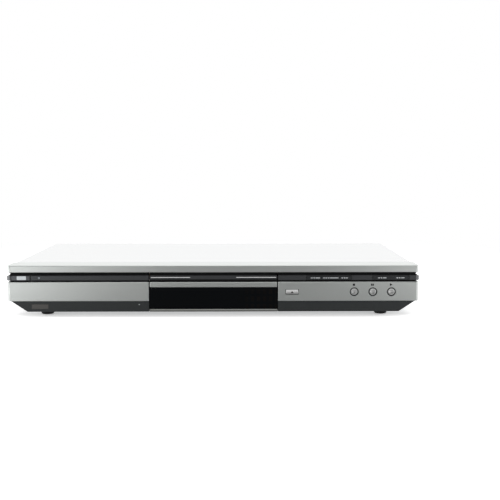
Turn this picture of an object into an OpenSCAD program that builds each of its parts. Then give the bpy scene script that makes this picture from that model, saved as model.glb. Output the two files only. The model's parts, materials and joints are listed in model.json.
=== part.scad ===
// Slim disc player of hi-fi width, with a sliding tray, taken down to its separate pieces.
// X runs to the right, Y to the back and Z up; the feet stand on Z = 0 under the box's centre.

/* [Case] */
// Width across the front moulding's sides
body_w = 430; // [410:1:450]
// Depth from the front face to the cover's back edge
body_d = 250; // [246:1:300]
// Height from the surface it stands on to the top
body_h = 56; // [55:0.5:64]
// Thickness of the cover's and the chassis's sheet steel
sheet_t = 0.8; // [0.6:0.1:1]
// Thickness of the moulded walls
wall_t = 2; // [1.6:0.1:2.2]
// Depth of the front moulding along the sides and the top
front_d = 30; // [28:1:34]
// Radius of the front moulding's upright corners
corner_r = 3; // [1:0.5:5]
// How much lower and narrower the cover is than the front moulding
cover_step = 0.6; // [0.3:0.1:1]

/* [Feet] */
// Height of each foot
foot_h = 7; // [6:0.5:8]
// Diameter of each foot
foot_dia = 14; // [10:1:18]
// Distance between the left and right feet's centres
foot_span = 360; // [330:1:366]
// Distance from the front face to the front feet's centres
foot_front = 31.6; // [31:0.2:40]
// Distance from the front face to the rear feet's centres
foot_rear = 222; // [180:1:232]

/* [Front bands, from the top down] */
// Height of the bright top lip
lip_h = 7.5; // [6:0.1:8]
// Height of the dark recess under it
recess_h = 3.4; // [2.5:0.1:4]
// Height of the control strip
strip_h = 5; // [4:0.1:5.5]
// Height of the shadow line under the strip
shadow_h = 1.7; // [1:0.1:2]
// Height of the bright face plates
plate_h = 20.2; // [19:0.1:21]
// Thickness of the bright face plates
plate_t = 2.5; // [2:0.1:2.8]
// How far back the recess floor lies
recess_d = 4; // [3.6:0.1:5]
// How far the strips stand out past the sides
strip_proud = 1; // [0.5:0.1:1.5]
// How far in the skirt's lower corners are cut
skirt_cut = 17; // [8:0.5:20]
// How far the skirt's face lies behind the plates
skirt_back = 1; // [0.5:0.1:1.5]

/* [Tray door and display] */
// How far the door reaches past the tray at each side
door_side = 2.5; // [2:0.1:4]
// Gap beside the door
door_gap = 1.2; // [0.6:0.1:1.5]
// Height of the bright lip along the door's lower edge
door_lip_h = 5.6; // [5:0.1:6]
// Height of the display window
window_h = 22.4; // [20:0.1:22.6]
// How much nearer to the middle the display tube ends than the tray, at each side
tube_in = 14; // [10:0.5:24]
// Width of the remote control's sensor window
sensor_w = 17.4; // [12:0.2:20]
// Height of the remote control's sensor window
sensor_h = 5; // [3:0.1:5.4]
// Distance from the left side to the sensor window's centre
sensor_in = 33.4; // [30:0.2:40]

/* [Keys] */
// How far the round keys and the open key stand out
key_proud = 0.8; // [0.4:0.1:1.2]
// How far every key can be pressed
key_travel = 0.5; // [0.3:0.05:0.5]
// Diameter of the stop, pause and play keys
round_key_dia = 7.5; // [6:0.1:8.5]
// Distance between the round keys' centres
round_key_pitch = 19.5; // [17:0.1:22]
// Distance from the right side to the play key's centre
play_key_in = 28.4; // [26:0.2:34]
// Gap round each key in a face plate
key_ring = 0.9; // [0.4:0.1:1]
// Width of the open and close key
open_key_w = 13; // [10:0.2:16]
// Height of the open and close key
open_key_h = 4.8; // [4:0.1:6]
// Distance from the right face plate's inner end to the open key's centre
open_key_in = 14.7; // [12:0.1:22]
// Distance from the face plates' top edge down to the lower keys
low_key_drop = 10.6; // [9:0.1:11]
// Width of the power key
power_key_w = 19.1; // [14:0.1:20]
// Distance from the left side to the power key's outer end
power_key_in = 4.3; // [4.2:0.1:6]
// Widths of the three strip keys in the inner group
inner_keys = [14.6, 19.4, 13.6];
// Distance from the right strip's inner end to the inner group's left end
inner_keys_in = 29.7; // [24:0.1:32]
// Width of each of the two strip keys in the outer group
outer_key_w = 19.2; // [14:0.2:19.6]
// Distance from the right side to the outer group's right end
outer_keys_in = 9.9; // [8:0.1:14]
// Gap between neighbouring strip keys
key_gap = 0.3; // [0.2:0.05:0.5]
// Diameter of every key's stem
stem_dia = 3; // [2.5:0.1:3.2]
// Diameter of the power light's pipe
light_dia = 2; // [1.5:0.1:2.5]
// Distance from the left side to the power light
light_in = 33; // [30:0.2:36]

/* [Tray] */
// Width of the disc tray
tray_w = 128; // [127:0.5:129]
// Length of the disc tray
tray_l = 197; // [192:1:200]
// Height of the disc tray
tray_h = 9; // [8.5:0.1:9.5]
// Diameter of the disc that the tray holds
disc_dia = 120; // [118:0.5:120]
// Depth of the disc's recess
disc_recess = 4.5; // [4:0.1:4.6]
// How far the tray slides out
tray_travel = 154; // [120:1:156]
// Distance from the front face to the closed disc's centre
disc_back = 92; // [92:0.5:96]
// Gap between the tray and its guides
slide_gap = 0.4; // [0.3:0.05:0.5]

/* [Loader drive] */
// Tooth module of the loading gears and the tray's rack
load_module = 1; // [0.9:0.05:1]
// Teeth of the gear that drives the rack
rack_gear_teeth = 20; // [18:1:20]
// Teeth of the large wheel below it
wheel_teeth = 36; // [32:1:36]
// Teeth of the pulley's pinion
pinion_teeth = 14; // [14:1:16]
// Thinning of every tooth, for running clearance
tooth_slack = 0.2; // [0.15:0.01:0.3]
// Distance from the tray's middle to its rack's pitch line
rack_x = 46; // [45:0.5:48]
// Distance from the front face to the loading gears' line
gears_back = 44; // [44:0.5:46]
// Radius of the large pulley's groove
pulley_r = 15; // [12:0.5:15.5]
// Radius of the motor pulley's groove
motor_pulley_r = 3.2; // [2.5:0.1:4]
// Distance from the middle to the loading motor
loading_motor_x = 30; // [28:0.5:34]
// Diameter of the loading motor
loading_motor_dia = 24.4; // [20:0.2:25]

/* [Traverse] */
// Distance from the front face to the traverse's hinge
hinge_back = 178; // [178:0.5:184]
// Angle that the traverse tips down
tip_angle = 4; // [3:0.25:4]
// How far the cam slider moves while the traverse tips
cam_travel = 14; // [12:0.5:16]
// Diameter of the turntable
turntable_dia = 30; // [26:0.5:31]
// Diameter of the turntable's centring hub
hub_dia = 14.8; // [14.5:0.1:14.9]
// Diameter of the spindle motor
spindle_motor_dia = 28; // [24:0.5:29]
// Diameter of the pickup's guide rods
rod_dia = 3; // [2.5:0.1:3.2]
// Distance between the guide rods
rod_span = 50; // [49:0.5:52]
// Radius on the disc where the pickup rests
pickup_r = 24; // [24:0.5:26]
// How far the pickup travels
pickup_travel = 35; // [25:0.5:36]
// Tooth module of the pickup's feed gear
feed_module = 0.8; // [0.7:0.05:0.8]
// Teeth of the feed gear
feed_teeth = 24; // [20:1:24]

/* [Electronics] */
// Height of the boards above the chassis floor
board_rise = 5; // [4:0.5:6]
// Thickness of the boards
board_t = 1.6; // [1:0.1:2]
// Width of the main board
main_board_w = 112; // [106:1:114]
// Depth of the main board
main_board_d = 132; // [110:1:134]
// Width of the power board
power_board_w = 114; // [104:1:116]
// Depth of the power board
power_board_d = 150; // [130:1:156]
// How far the phono sockets stand out behind the cover
jack_proud = 8; // [6:0.5:10]
// Diameter of each phono socket's barrel
phono_dia = 8.3; // [8:0.1:8.4]
// Distance between the pairs of phono sockets
phono_pitch = 16; // [14:0.5:17]
// Width of the multi-way video socket
scart_w = 47; // [46:0.5:50]
// Height of the multi-way video socket
scart_h = 15; // [14.6:0.1:18]
// Width of the mains inlet's body
inlet_w = 21; // [20:0.5:26]
// Height of the mains inlet's body
inlet_h = 13; // [12.5:0.5:16]

/* [Hidden] */
$fn = 48;

e = 0.01;                 // overshoot of a cut past the face it opens
seat = 0.3;               // gap between neighbouring pieces that only rest together
hair = 0.1;               // gap of a piece seated flat on another
run_fit = 0.05;           // radial clearance of a shaft in its bore
trim_side = 2.7;          // thickness of the bright mouldings along the sides
trim_top = 2.2;           // thickness of the top lip along the top
front_y = -(body_d + jack_proud - key_proud) / 2;

// Widths
side_x = body_w / 2;
frame_x = side_x - trim_side - seat;
cover_x = side_x - cover_step;
chassis_x = cover_x - sheet_t - seat;
inner_x = chassis_x - sheet_t;
tray_x = tray_w / 2;
door_x = tray_x + door_side;
plate_x = door_x + door_gap;
tube_w = tray_w - 2 * tube_in;

// Heights of the front's bands
lip_z = body_h - lip_h;
strip_z1 = lip_z - recess_h;
strip_z0 = strip_z1 - strip_h;
plate_z1 = strip_z0 - shadow_h;
plate_z0 = plate_z1 - plate_h;
door_z1 = lip_z - seat;
door_z0 = plate_z1 - door_lip_h;
window_z1 = door_z0 - 0.4;
window_z0 = window_z1 - window_h;
strip_mid = (strip_z0 + strip_z1) / 2;
low_key_z = plate_z1 - low_key_drop;
sensor_z = foot_h + 5.4;

// Sheet metal and boards
floor_z = foot_h + 1;
cover_z = body_h - cover_step;
frame_z1 = body_h - trim_top - seat;
skirt_d = 22;
skirt_x1 = side_x - 3.3;
skirt_x0 = skirt_x1 - skirt_cut;
floor_x = skirt_x0 - wall_t - seat;
side_slope = (plate_z0 - foot_h) / skirt_cut;
bevel_z = foot_h + (chassis_x - floor_x) * side_slope;
bevel_t = (floor_z - foot_h) / sin(atan(side_slope));
panel_back = body_d - sheet_t - hair;
panel_front = panel_back - 1;
board_z = floor_z + board_rise;
board_top = board_z + board_t;
board_x = floor_x + (board_z - foot_h) / side_slope - bevel_t - 0.7;
main_x0 = board_x - main_board_w;
main_y0 = panel_front - hair - main_board_d;
power_x0 = -board_x;
power_y0 = panel_front - hair - power_board_d;
inlet_x = power_x0 + 22;
scart_x = main_x0 + scart_w / 2 + 6;
phono_x = [for (k = [0:2]) main_x0 + main_board_w - 12 - k * phono_pitch];
phono_spots = [for (x = phono_x, z = [6.5, 20.5]) [x, board_top + z]];
phono_collar = phono_dia / 2 + 0.5;
cable_y = main_y0 + 48;

// Tray and loader
tray_z0 = door_z0 + 1.6;
tray_z1 = tray_z0 + tray_h;
disc_z = tray_z1 - disc_recess;
tray_floor = disc_z - 2;
tray_y0 = recess_d + 1.5;
base_z0 = floor_z + 2;
base_z1 = base_z0 + 2;
loader_y0 = 12;
loader_y1 = loader_y0 + 194;
deck_y0 = 24;
guide_x = tray_x + slide_gap;
guide_t = 2.6;
ledge_z = tray_z0 - seat;
bridge_z0 = tray_z1 + 2.6;
bridge_t = 2;
slot_r = turntable_dia / 2 + 6;

// Loading gears
rack_gear_r = load_module * rack_gear_teeth / 2;
wheel_r = load_module * wheel_teeth / 2;
pinion_r = load_module * pinion_teeth / 2;
drive_gear_x = rack_x - rack_gear_r;
pulley_gear_x = drive_gear_x - wheel_r - pinion_r;
motor_x = -loading_motor_x;
wheel_z = tray_z0 - 10.4;
wheel_t = 3;
groove_z = wheel_z + wheel_t + 2.2;
groove_h = 2;
flange_h = 1;
flange_w = 1.5;
belt_t = 1.2;
pin_r = 1.5;
shelf_z = wheel_z + 2;
motor_shelf = 14;         // half the depth of the motor's shelf

// Traverse
deck_z1 = tray_z0 - 8.4;
deck_t = 2.5;
deck_z0 = deck_z1 - deck_t;
hinge_z = deck_z1 - deck_t / 2;
deck_x0 = -(rod_span / 2 + 7);
deck_x1 = rod_span / 2 + 27;
deck_front = disc_back - 23;
deck_back = hinge_back - 4;
seat_z = disc_z + 1.5;
spindle_top = seat_z - 3.8;
rod_z = deck_z1 + 3;
pickup_x = rod_span / 2 - rod_dia / 2 - 1.8;
pickup_y0 = disc_back + spindle_motor_dia / 2 + 2;
lens_y = disc_back + pickup_r;
feed_rack_x = rod_span / 2 + 6;
feed_r = feed_module * feed_teeth / 2;
feed_x = feed_rack_x + feed_r;
feed_y = disc_back + 28;
feed_z = deck_z1 + 1;
cam_y = deck_front - 4.5;
cam_pin_x = -20;
cam_drop = (hinge_back - cam_y) * sin(tip_angle);
cam_slot_w = 3.8;

// Keys
key_back = recess_d + wall_t + 2.6;
switch_y = key_back + key_travel + hair;
board_front = switch_y + 4.3;
cap_back = plate_t + 0.3 + seat;
play_x = side_x - play_key_in;
open_key_x = plate_x + open_key_in;
inner_keys_x = plate_x + inner_keys_in;
power_x0_key = -side_x + power_key_in;
power_x = power_x0_key + power_key_w / 2;
outer_x1 = side_x - outer_keys_in;
outer_x0 = outer_x1 - 2 * outer_key_w;
inner_x1 = inner_keys_x + inner_keys[0] + inner_keys[1] + inner_keys[2];
light_x = -side_x + light_in;
sensor_x = -side_x + sensor_in;
strip_keys = [
    [inner_keys_x, inner_keys[0]],
    [inner_keys_x + inner_keys[0], inner_keys[1]],
    [inner_keys_x + inner_keys[0] + inner_keys[1], inner_keys[2]],
    [outer_x0, outer_key_w],
    [outer_x0 + outer_key_w, outer_key_w]
];
function strip_key_x(i) = strip_keys[i][0] + strip_keys[i][1] / 2;
low_keys = [[open_key_x, low_key_z], for (i = [2:-1:0]) [play_x - i * round_key_pitch, low_key_z]];
right_keys = concat([for (i = [0:4]) [strip_key_x(i), strip_mid]], low_keys);
web_y = 0.1 + 1.8 + key_travel + hair;
board_posts = concat(
    [for (s = [-1, 1], z = [window_z0 + 2.4, window_z1 - 4]) [s * (tube_w / 2 + 10.5), z]],
    [[tray_x + 11.5, low_key_z], [side_x - 14, low_key_z - 1], [play_x - 1.5 * round_key_pitch, low_key_z]],
    [[-side_x + 13, low_key_z], [-side_x + 40, low_key_z]]);

// Fasteners
screw_r = 1.4;
screw_hole_r = 1.5;
head_r = 3;
head_t = 1.6;
side_screw_y = [62, 196];
side_screw_z = 28;
rear_screw_x = [-150, 0, 150];
loader_feet = [for (s = [-1, 1], y = [deck_y0 + 12, loader_y1 - 12]) [s * (guide_x + guide_t + 5), y]];
main_feet = [for (x = [6, main_board_w - 14], y = [8, main_board_d - 42]) [main_x0 + x, main_y0 + y]];
power_feet = [for (x = [14, power_board_w - 6], y = [8, power_board_d - 42]) [power_x0 + x, power_y0 + y]];
foot_spots = [for (s = [-1, 1], y = [foot_front, foot_rear]) [s * foot_span / 2, y]];

// Colours
silver = "#b4b5b3";
dark = "#3b3d3f";
black = "#17181a";
steel = "#a9adb0";
board_green = "#2f6b43";
white = "#e6e6e0";

// ---- Shared shapes -------------------------------------------------------------------------

// Moves a piece drawn with Y = 0 at the front face into the part's own frame
module placed() { translate([0, front_y, 0]) children(); }

// Box between two corners
module span(a, b) { translate(a) cube(b - a); }

// Draws on the right and again mirrored on the left
module both_sides() { children(); mirror([1, 0, 0]) children(); }

// Upright round bar
module post(x, y, z0, z1, r) { translate([x, y, z0]) cylinder(h = z1 - z0, r = r); }

// Round bar along Y
module bar_y(x, z, y0, y1, r) { translate([x, y1, z]) rotate([90, 0, 0]) cylinder(h = y1 - y0, r = r); }

// Round bar along X
module bar_x(y, z, x0, x1, r) { translate([x0, y, z]) rotate([0, 90, 0]) cylinder(h = x1 - x0, r = r); }

// Extrudes a profile drawn in Y and Z along X
module along_x(x0, x1) { translate([x0, 0, 0]) rotate([90, 0, 90]) linear_extrude(x1 - x0) children(); }

// Extrudes a profile drawn in X and Z along Y
module along_y(y0, y1) { translate([0, y1, 0]) rotate([90, 0, 0]) linear_extrude(y1 - y0) children(); }

// Rectangle with each corner rounded by its own radius: left front, right front, right back, left back
module rounded(x0, y0, x1, y1, r) {
    corners = [[x0, y0, 1, 1, r[0]], [x1, y0, -1, 1, r[1]], [x1, y1, -1, -1, r[2]], [x0, y1, 1, -1, r[3]]];
    difference() {
        translate([x0, y0]) square([x1 - x0, y1 - y0]);
        for (c = corners) if (c[4] > 0)
            difference() {
                translate([c[0] - (c[2] > 0 ? e : c[4]), c[1] - (c[3] > 0 ? e : c[4])]) square(c[4] + e);
                translate([c[0] + c[2] * c[4], c[1] + c[3] * c[4]]) circle(c[4]);
            }
    }
}

// Half angle of an involute tooth at radius r, in degrees
function involute(base, r) = let (a = acos(min(1, base / r))) tan(a) * 180 / PI - a;
function tooth_half(m, teeth, r) = let (pitch = m * teeth / 2, base = pitch * cos(20))
    90 / teeth - tooth_slack * 90 / PI / pitch + involute(base, pitch) - involute(base, max(r, base));

// Toothed wheel's outline, with a tooth on X when phase is 0
module gear_outline(m, teeth, phase) {
    pitch = m * teeth / 2;
    radii = [for (k = [0:5]) pitch - 1.1 * m + k * 1.9 * m / 5];
    polygon([for (i = [0:teeth - 1]) for (k = [0:11])
        let (r = k < 6 ? radii[k] : radii[11 - k])
        let (a = i * 360 / teeth + phase + (k < 6 ? -1 : 1) * tooth_half(m, teeth, r))
        [r * cos(a), r * sin(a)]]);
}

// Straight rack's outline, teeth pointing to +X, pitch line on X = 0, a tooth on Y = 0
module rack_outline(m, first, last, back) {
    half = PI * m / 4 - tooth_slack / 2;
    lean = m * tan(20);
    polygon(concat(
        [[-back, (first - 0.5) * PI * m], [-1.1 * m, (first - 0.5) * PI * m]],
        [for (i = [first:last]) for (p = [[-1.1, -half - 1.1 * lean], [0.8, -half + 0.8 * lean],
            [0.8, half - 0.8 * lean], [-1.1, half + 1.1 * lean]]) [p[0] * m, i * PI * m + p[1]]],
        [[-1.1 * m, (last + 0.5) * PI * m], [-back, (last + 0.5) * PI * m]]));
}

// Pan-head screw standing on top of z, reaching down by length
module screw_down(x, y, z, length) {
    post(x, y, z - length, z + e, screw_r);
    difference() {
        post(x, y, z, z + head_t, head_r);
        for (a = [0, 90])
            translate([x, y, z + head_t]) rotate([0, 0, a]) cube([3.4, 0.7, head_t], center = true);
    }
}

// ---- Sheet metal ---------------------------------------------------------------------------

// Outline of the folded pan: flat floor, slanted lower corners and upright sides
module pan_outline(inset_x, top) {
    floor_in = inset_x > 0 ? floor_x + (floor_z - foot_h) / side_slope - bevel_t : floor_x;
    side_in = chassis_x - inset_x;
    slant_z = (inset_x > 0 ? floor_z : foot_h) + (side_in - floor_in) * side_slope;
    low = inset_x > 0 ? floor_z : foot_h;
    polygon([[-floor_in, low], [floor_in, low], [side_in, slant_z], [side_in, top],
        [-side_in, top], [-side_in, slant_z]]);
}

// Floor of the case with its folded sides, standoffs and vents
module chassis() {
    color(steel) placed() difference() {
        union() {
            span([-floor_x, skirt_d + seat, foot_h], [floor_x, front_d + 1, floor_z]);
            difference() {
                along_y(front_d + 0.6, panel_front) pan_outline(0, cover_z - 9);
                along_y(front_d + 0.6 - e, panel_front + e) pan_outline(sheet_t, cover_z - 9 + e);
            }
            intersection() {
                along_y(panel_front - sheet_t, panel_front) pan_outline(0, cover_z - 9);
                span([-side_x, 0, foot_h], [side_x, body_d, board_z - 0.5]);
            }
            both_sides()
                span([inner_x - 8, front_d + 0.6, cover_z - 9 - sheet_t], [chassis_x, panel_front, cover_z - 9]);
            span([-floor_x, skirt_d + seat, foot_h],
                [floor_x, skirt_d + seat + sheet_t, floor_z + 7]);
            for (p = concat(main_feet, power_feet)) post(p[0], p[1], floor_z - e, board_z, 3.2);
            for (p = loader_feet) post(p[0], p[1], floor_z - e, base_z0, 4.2);
        }
        for (p = concat(main_feet, power_feet)) post(p[0], p[1], foot_h - e, board_z + e, screw_hole_r);
        for (p = loader_feet) post(p[0], p[1], foot_h - e, base_z0 + e, screw_hole_r);
        for (p = foot_spots) post(p[0], p[1], foot_h - e, floor_z + e, screw_hole_r);
        both_sides() for (y = side_screw_y)
            bar_x(y, side_screw_z, inner_x - e, chassis_x + e, screw_hole_r);
        for (x = [-5:5]) if (x != 0)
            span([x * 9 - 1.5, disc_back + 28, foot_h - e], [x * 9 + 1.5, disc_back + 58, floor_z + e]);
        both_sides() for (k = [0:7])
            span([floor_x - 8 - k * 8, 60, foot_h - e], [floor_x - 5 - k * 8, 84, floor_z + e]);
    }
}

// Folded cover: top, two sides, a hem under the front moulding and a rear hem
module top_cover() {
    bend = 2;
    hem_z = frame_z1 - 4.2;
    color(silver) placed() difference() {
        union() {
            along_y(front_d + seat, body_d) difference() {
                rounded(-cover_x, bevel_z + 0.2, cover_x, cover_z, [0, 0, bend, bend]);
                rounded(-cover_x + sheet_t, floor_z, cover_x - sheet_t, cover_z - sheet_t,
                    [0, 0, bend - sheet_t, bend - sheet_t]);
            }
            span([-frame_x + 5, front_d - 8, hem_z], [frame_x - 5, front_d + seat + sheet_t, hem_z + sheet_t]);
            span([-frame_x + 5, front_d + seat, hem_z], [frame_x - 5, front_d + seat + sheet_t, cover_z - e]);
            span([-cover_x + 5, body_d - sheet_t, cover_z - 9], [cover_x - 5, body_d, cover_z - e]);
        }
        both_sides() for (y = side_screw_y) bar_x(y, side_screw_z, cover_x - 2, cover_x + e, screw_hole_r);
        for (x = rear_screw_x) bar_y(x, cover_z - 6, body_d - 2, body_d + e, screw_hole_r);
        both_sides() for (k = [0:8])
            span([cover_x - 2, body_d - 96 + k * 6, bevel_z + 5], [cover_x + e, body_d - 94 + k * 6, cover_z - 14]);
    }
}

// Rear panel with the sockets' openings and its vents
module rear_panel() {
    color(black) placed() difference() {
        intersection() {
            along_y(panel_front + hair, panel_back) pan_outline(sheet_t + seat, cover_z - sheet_t - seat);
            span([-side_x, 0, floor_z + 0.2], [side_x, body_d, body_h]);
        }
        span([scart_x - scart_w / 2 - 0.2, panel_front - 1, board_top - 0.2],
            [scart_x + scart_w / 2 + 0.2, body_d, board_top + scart_h + 0.2]);
        for (p = phono_spots) bar_y(p[0], p[1], panel_front - 1, body_d, phono_collar + seat);
        span([inlet_x - inlet_w / 2 - 0.2, panel_front - 1, board_top - 0.2],
            [inlet_x + inlet_w / 2 + 0.2, body_d, board_top + inlet_h + 0.2]);
        for (x = rear_screw_x) bar_y(x, cover_z - 6, panel_front - 1, body_d, screw_hole_r);
        for (k = [0:9])
            span([-110 + k * 6, panel_front - 1, 20], [-108 + k * 6, body_d, 42]);
    }
}

// ---- Front ---------------------------------------------------------------------------------

// Dark base moulding: recess floor, skirt and the openings for tray, display and keys
module front_frame() {
    y0 = recess_d;
    y1 = recess_d + wall_t;
    color(dark) placed() difference() {
        union() {
            difference() {
                span([-frame_x, y0, plate_z0 - e], [frame_x, front_d, frame_z1]);
                span([-frame_x + wall_t, y1, plate_z0 - 1], [frame_x - wall_t, front_d + e, frame_z1 + e]);
            }
            difference() {
                along_y(skirt_back, front_d) polygon([[-skirt_x1, plate_z0], [skirt_x1, plate_z0],
                    [skirt_x0, foot_h], [-skirt_x0, foot_h]]);
                along_y(y1, front_d + e) polygon([
                    [-skirt_x1 + wall_t, plate_z0 + 1], [skirt_x1 - wall_t, plate_z0 + 1],
                    [skirt_x0 - wall_t, foot_h + wall_t], [-skirt_x0 + wall_t, foot_h + wall_t]]);
                span([-skirt_x0, skirt_d, foot_h - e], [skirt_x0, front_d + e, foot_h + wall_t + e]);
                span([-plate_x, -e, foot_h - e], [plate_x, y0, plate_z0 + 1]);
            }
            both_sides() for (band = [[plate_z1, strip_z0], [strip_z1, lip_z]])
                along_y(y0, front_d) polygon([
                    [frame_x - e, band[0] + hair], [side_x - 0.7, band[0] + hair],
                    [frame_x + 0.3, (band[0] + band[1]) / 2],
                    [side_x - 0.7, band[1] - hair], [frame_x - e, band[1] - hair]]);
            for (p = board_posts) bar_y(p[0], p[1], y1 - e, board_front, 2.6);
            both_sides() for (x = [side_x - 95, side_x - 45])
                span([x - 1, y1 - e, foot_h + wall_t - e], [x + 1, 13, plate_z0 - 2]);
        }
        span([-door_x - 1.4, y0 - 1, door_z0], [door_x + 1.4, y1 + 1, lip_z - 0.1]);
        span([-tube_w / 2 - 5, y0 - 1, window_z0 + 2.4], [tube_w / 2 + 5, y1 + 1, window_z1 - 1.8]);
        for (k = right_keys) bar_y(k[0], k[1], y0 - 1, y1 + 1, stem_dia / 2 + seat);
        bar_y(power_x, strip_mid, y0 - 1, y1 + 1, stem_dia / 2 + seat);
        bar_y(light_x, strip_mid, y0 - 1, y1 + 1, light_dia / 2 + hair);
        span([sensor_x - sensor_w / 2 - hair, -e, sensor_z - sensor_h / 2 - hair],
            [sensor_x + sensor_w / 2 + hair, y1 + 1, sensor_z + sensor_h / 2 + hair]);
        for (p = board_posts) bar_y(p[0], p[1], board_front - 5, board_front + e, screw_hole_r);
    }
}

// Bright lip along the top, with the front moulding's top and upper sides
module top_trim() {
    color(silver) placed() difference() {
        intersection() {
            linear_extrude(body_h) rounded(-side_x, 0, side_x, front_d, [corner_r, corner_r, 0, 0]);
            along_x(-side_x, side_x) rounded(0, lip_z, front_d, body_h, [0.6, 0, 0, 1.2]);
        }
        span([-side_x + trim_side, plate_t, lip_z - e], [side_x - trim_side, front_d + e, body_h - trim_top]);
    }
}

// Bright face plate of the right-hand side, without its key holes
module plate_blank() {
    difference() {
        intersection() {
            linear_extrude(body_h) rounded(plate_x, 0, side_x, front_d, [0.8, corner_r, 0, 0]);
            along_x(plate_x, side_x) rounded(0, plate_z0, front_d, plate_z1, [0.8, 0, 0, 0.8]);
        }
        span([plate_x - e, plate_t, plate_z0 - e], [side_x - trim_side, front_d + e, plate_z1 + e]);
    }
    for (x = [plate_x + 5, side_x - 9], z = [plate_z0 + 3.2, plate_z1 - 3.2])
        bar_y(x, z, plate_t - e, recess_d, 1.6);
}

module left_fascia() { color(silver) placed() mirror([1, 0, 0]) plate_blank(); }

module right_fascia() {
    color(silver) placed() difference() {
        plate_blank();
        for (i = [0:2])
            bar_y(play_x - i * round_key_pitch, low_key_z, -e, plate_t + e, round_key_dia / 2 + key_ring);
        span([open_key_x - open_key_w / 2 - key_ring / 2, -e, low_key_z - open_key_h / 2 - key_ring / 2],
            [open_key_x + open_key_w / 2 + key_ring / 2, plate_t + e, low_key_z + open_key_h / 2 + key_ring / 2]);
    }
}

// Grey strip of one side, wrapped round the end, before its key pockets are cut
module strip_blank() {
    intersection() {
        linear_extrude(body_h) difference() {
            rounded(plate_x, 0, side_x + strip_proud, front_d, [0, corner_r + strip_proud, 0, 0]);
            translate([plate_x - e, recess_d]) square([frame_x + seat - plate_x + e, front_d]);
        }
        union() {
            along_x(plate_x, side_x - corner_r) rounded(0, strip_z0, front_d, strip_z1, [0.5, 0, 0, 0.5]);
            along_y(0, front_d)
                rounded(side_x - corner_r - e, strip_z0, side_x + strip_proud, strip_z1, [0, 1.2, 1.2, 0]);
        }
    }
}

module left_strip() {
    color(dark) placed() difference() {
        mirror([1, 0, 0]) strip_blank();
        span([power_x0_key - key_gap, -e, strip_z0 - e], [power_x0_key + power_key_w + 1.2, web_y, strip_z1 + e]);
        bar_y(power_x, strip_mid, 0, recess_d + e, stem_dia / 2 + seat);
        bar_y(light_x, strip_mid, -e, recess_d + e, light_dia / 2 + hair);
    }
}

module right_strip() {
    color(dark) placed() difference() {
        strip_blank();
        span([inner_keys_x - key_gap, -e, strip_z0 - e], [inner_x1 + key_gap, web_y, strip_z1 + e]);
        span([outer_x0 - key_gap, -e, strip_z0 - e], [outer_x1 + key_gap, web_y, strip_z1 + e]);
        for (i = [0:4]) bar_y(strip_key_x(i), strip_mid, 0, recess_d + e, stem_dia / 2 + seat);
    }
}

// Smoked window in front of the display
module display_window() {
    color(black) placed() difference() {
        span([-door_x - 0.5, skirt_back, window_z0], [door_x + 0.5, recess_d, window_z1]);
        span([-tube_w / 2 - 5, skirt_back + 1.6, window_z0 + 2.4], [tube_w / 2 + 5, recess_d + e, window_z1 - 1.8]);
    }
}

// Sloped metallic sill under the display window
module window_sill() {
    color(steel) placed() along_x(-door_x - 0.5, door_x + 0.5)
        polygon([[0.4, foot_h], [recess_d, foot_h], [recess_d, window_z0 - 0.2], [skirt_back + 0.6, window_z0 - 0.2],
            [0.4, foot_h + 1.4]]);
}

module sensor_window() {
    color("#5c5450") placed() difference() {
        span([sensor_x - sensor_w / 2, skirt_back - 0.2, sensor_z - sensor_h / 2],
            [sensor_x + sensor_w / 2, recess_d + wall_t, sensor_z + sensor_h / 2]);
        span([sensor_x - sensor_w / 2 + 1.4, skirt_back + 1.2, sensor_z - sensor_h / 2 + 1.2],
            [sensor_x + sensor_w / 2 - 1.4, recess_d + wall_t + e, sensor_z + sensor_h / 2 - 1.2]);
    }
}

// Clear pipe that carries the power light to the strip
module indicator_lens() {
    color(white) placed() union() {
        bar_y(light_x, strip_mid, 0, board_front - 1.6, light_dia / 2);
        bar_y(light_x, strip_mid, recess_d + wall_t + hair, recess_d + wall_t + 1.1, light_dia / 2 + 1);
    }
}

// ---- Feet and screws -----------------------------------------------------------------------

// Four rubber feet, each with its screw's counterbore
module feet() {
    color(black) placed() for (p = foot_spots) translate([p[0], p[1], 0]) difference() {
        rotate_extrude() difference() {
            rounded(0, 0, foot_dia / 2, foot_h - hair, [0, 2.2, 0.6, 0]);
            translate([-e, -e]) square([2.6, 1.6]);
        }
        post(0, 0, 1, foot_h, 1);
    }
}

// Screws that hold the cover, at the sides and the back
module cover_screws() {
    color(steel) placed() {
        both_sides() for (y = side_screw_y)
            translate([cover_x + 0.02, y, side_screw_z]) rotate([0, 90, 0]) screw_short();
        for (x = rear_screw_x) translate([x, body_d + 0.02, cover_z - 6]) rotate([-90, 0, 0]) screw_short();
    }
}

module screw_short() { screw_flat(0.58, 5); }

// Low screw lying on Z = 0 with its point down
module screw_flat(height, length) {
    translate([0, 0, -length]) cylinder(h = length + e, r = screw_r);
    difference() {
        cylinder(h = height, r = head_r);
        for (a = [0, 90]) translate([0, 0, height]) rotate([0, 0, a]) cube([3.4, 0.7, 0.6], center = true);
    }
}

// Screws that hold the boards and the loader to the chassis's standoffs
module chassis_screws() {
    color(steel) placed() {
        for (p = concat(main_feet, power_feet)) screw_down(p[0], p[1], board_top, board_rise + board_t - 0.4);
        for (p = loader_feet) screw_down(p[0], p[1], base_z1, base_z1 - foot_h - 0.4);
        for (p = board_posts) translate([p[0], board_front + board_t + 0.02, p[1]]) rotate([-90, 0, 0])
            screw_flat(1.2, 5);
    }
}

// ---- Keys ----------------------------------------------------------------------------------

// Stem that carries a press back to the key's switch
module stem(x, z, y0) { bar_y(x, z, y0, key_back, stem_dia / 2); }

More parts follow.
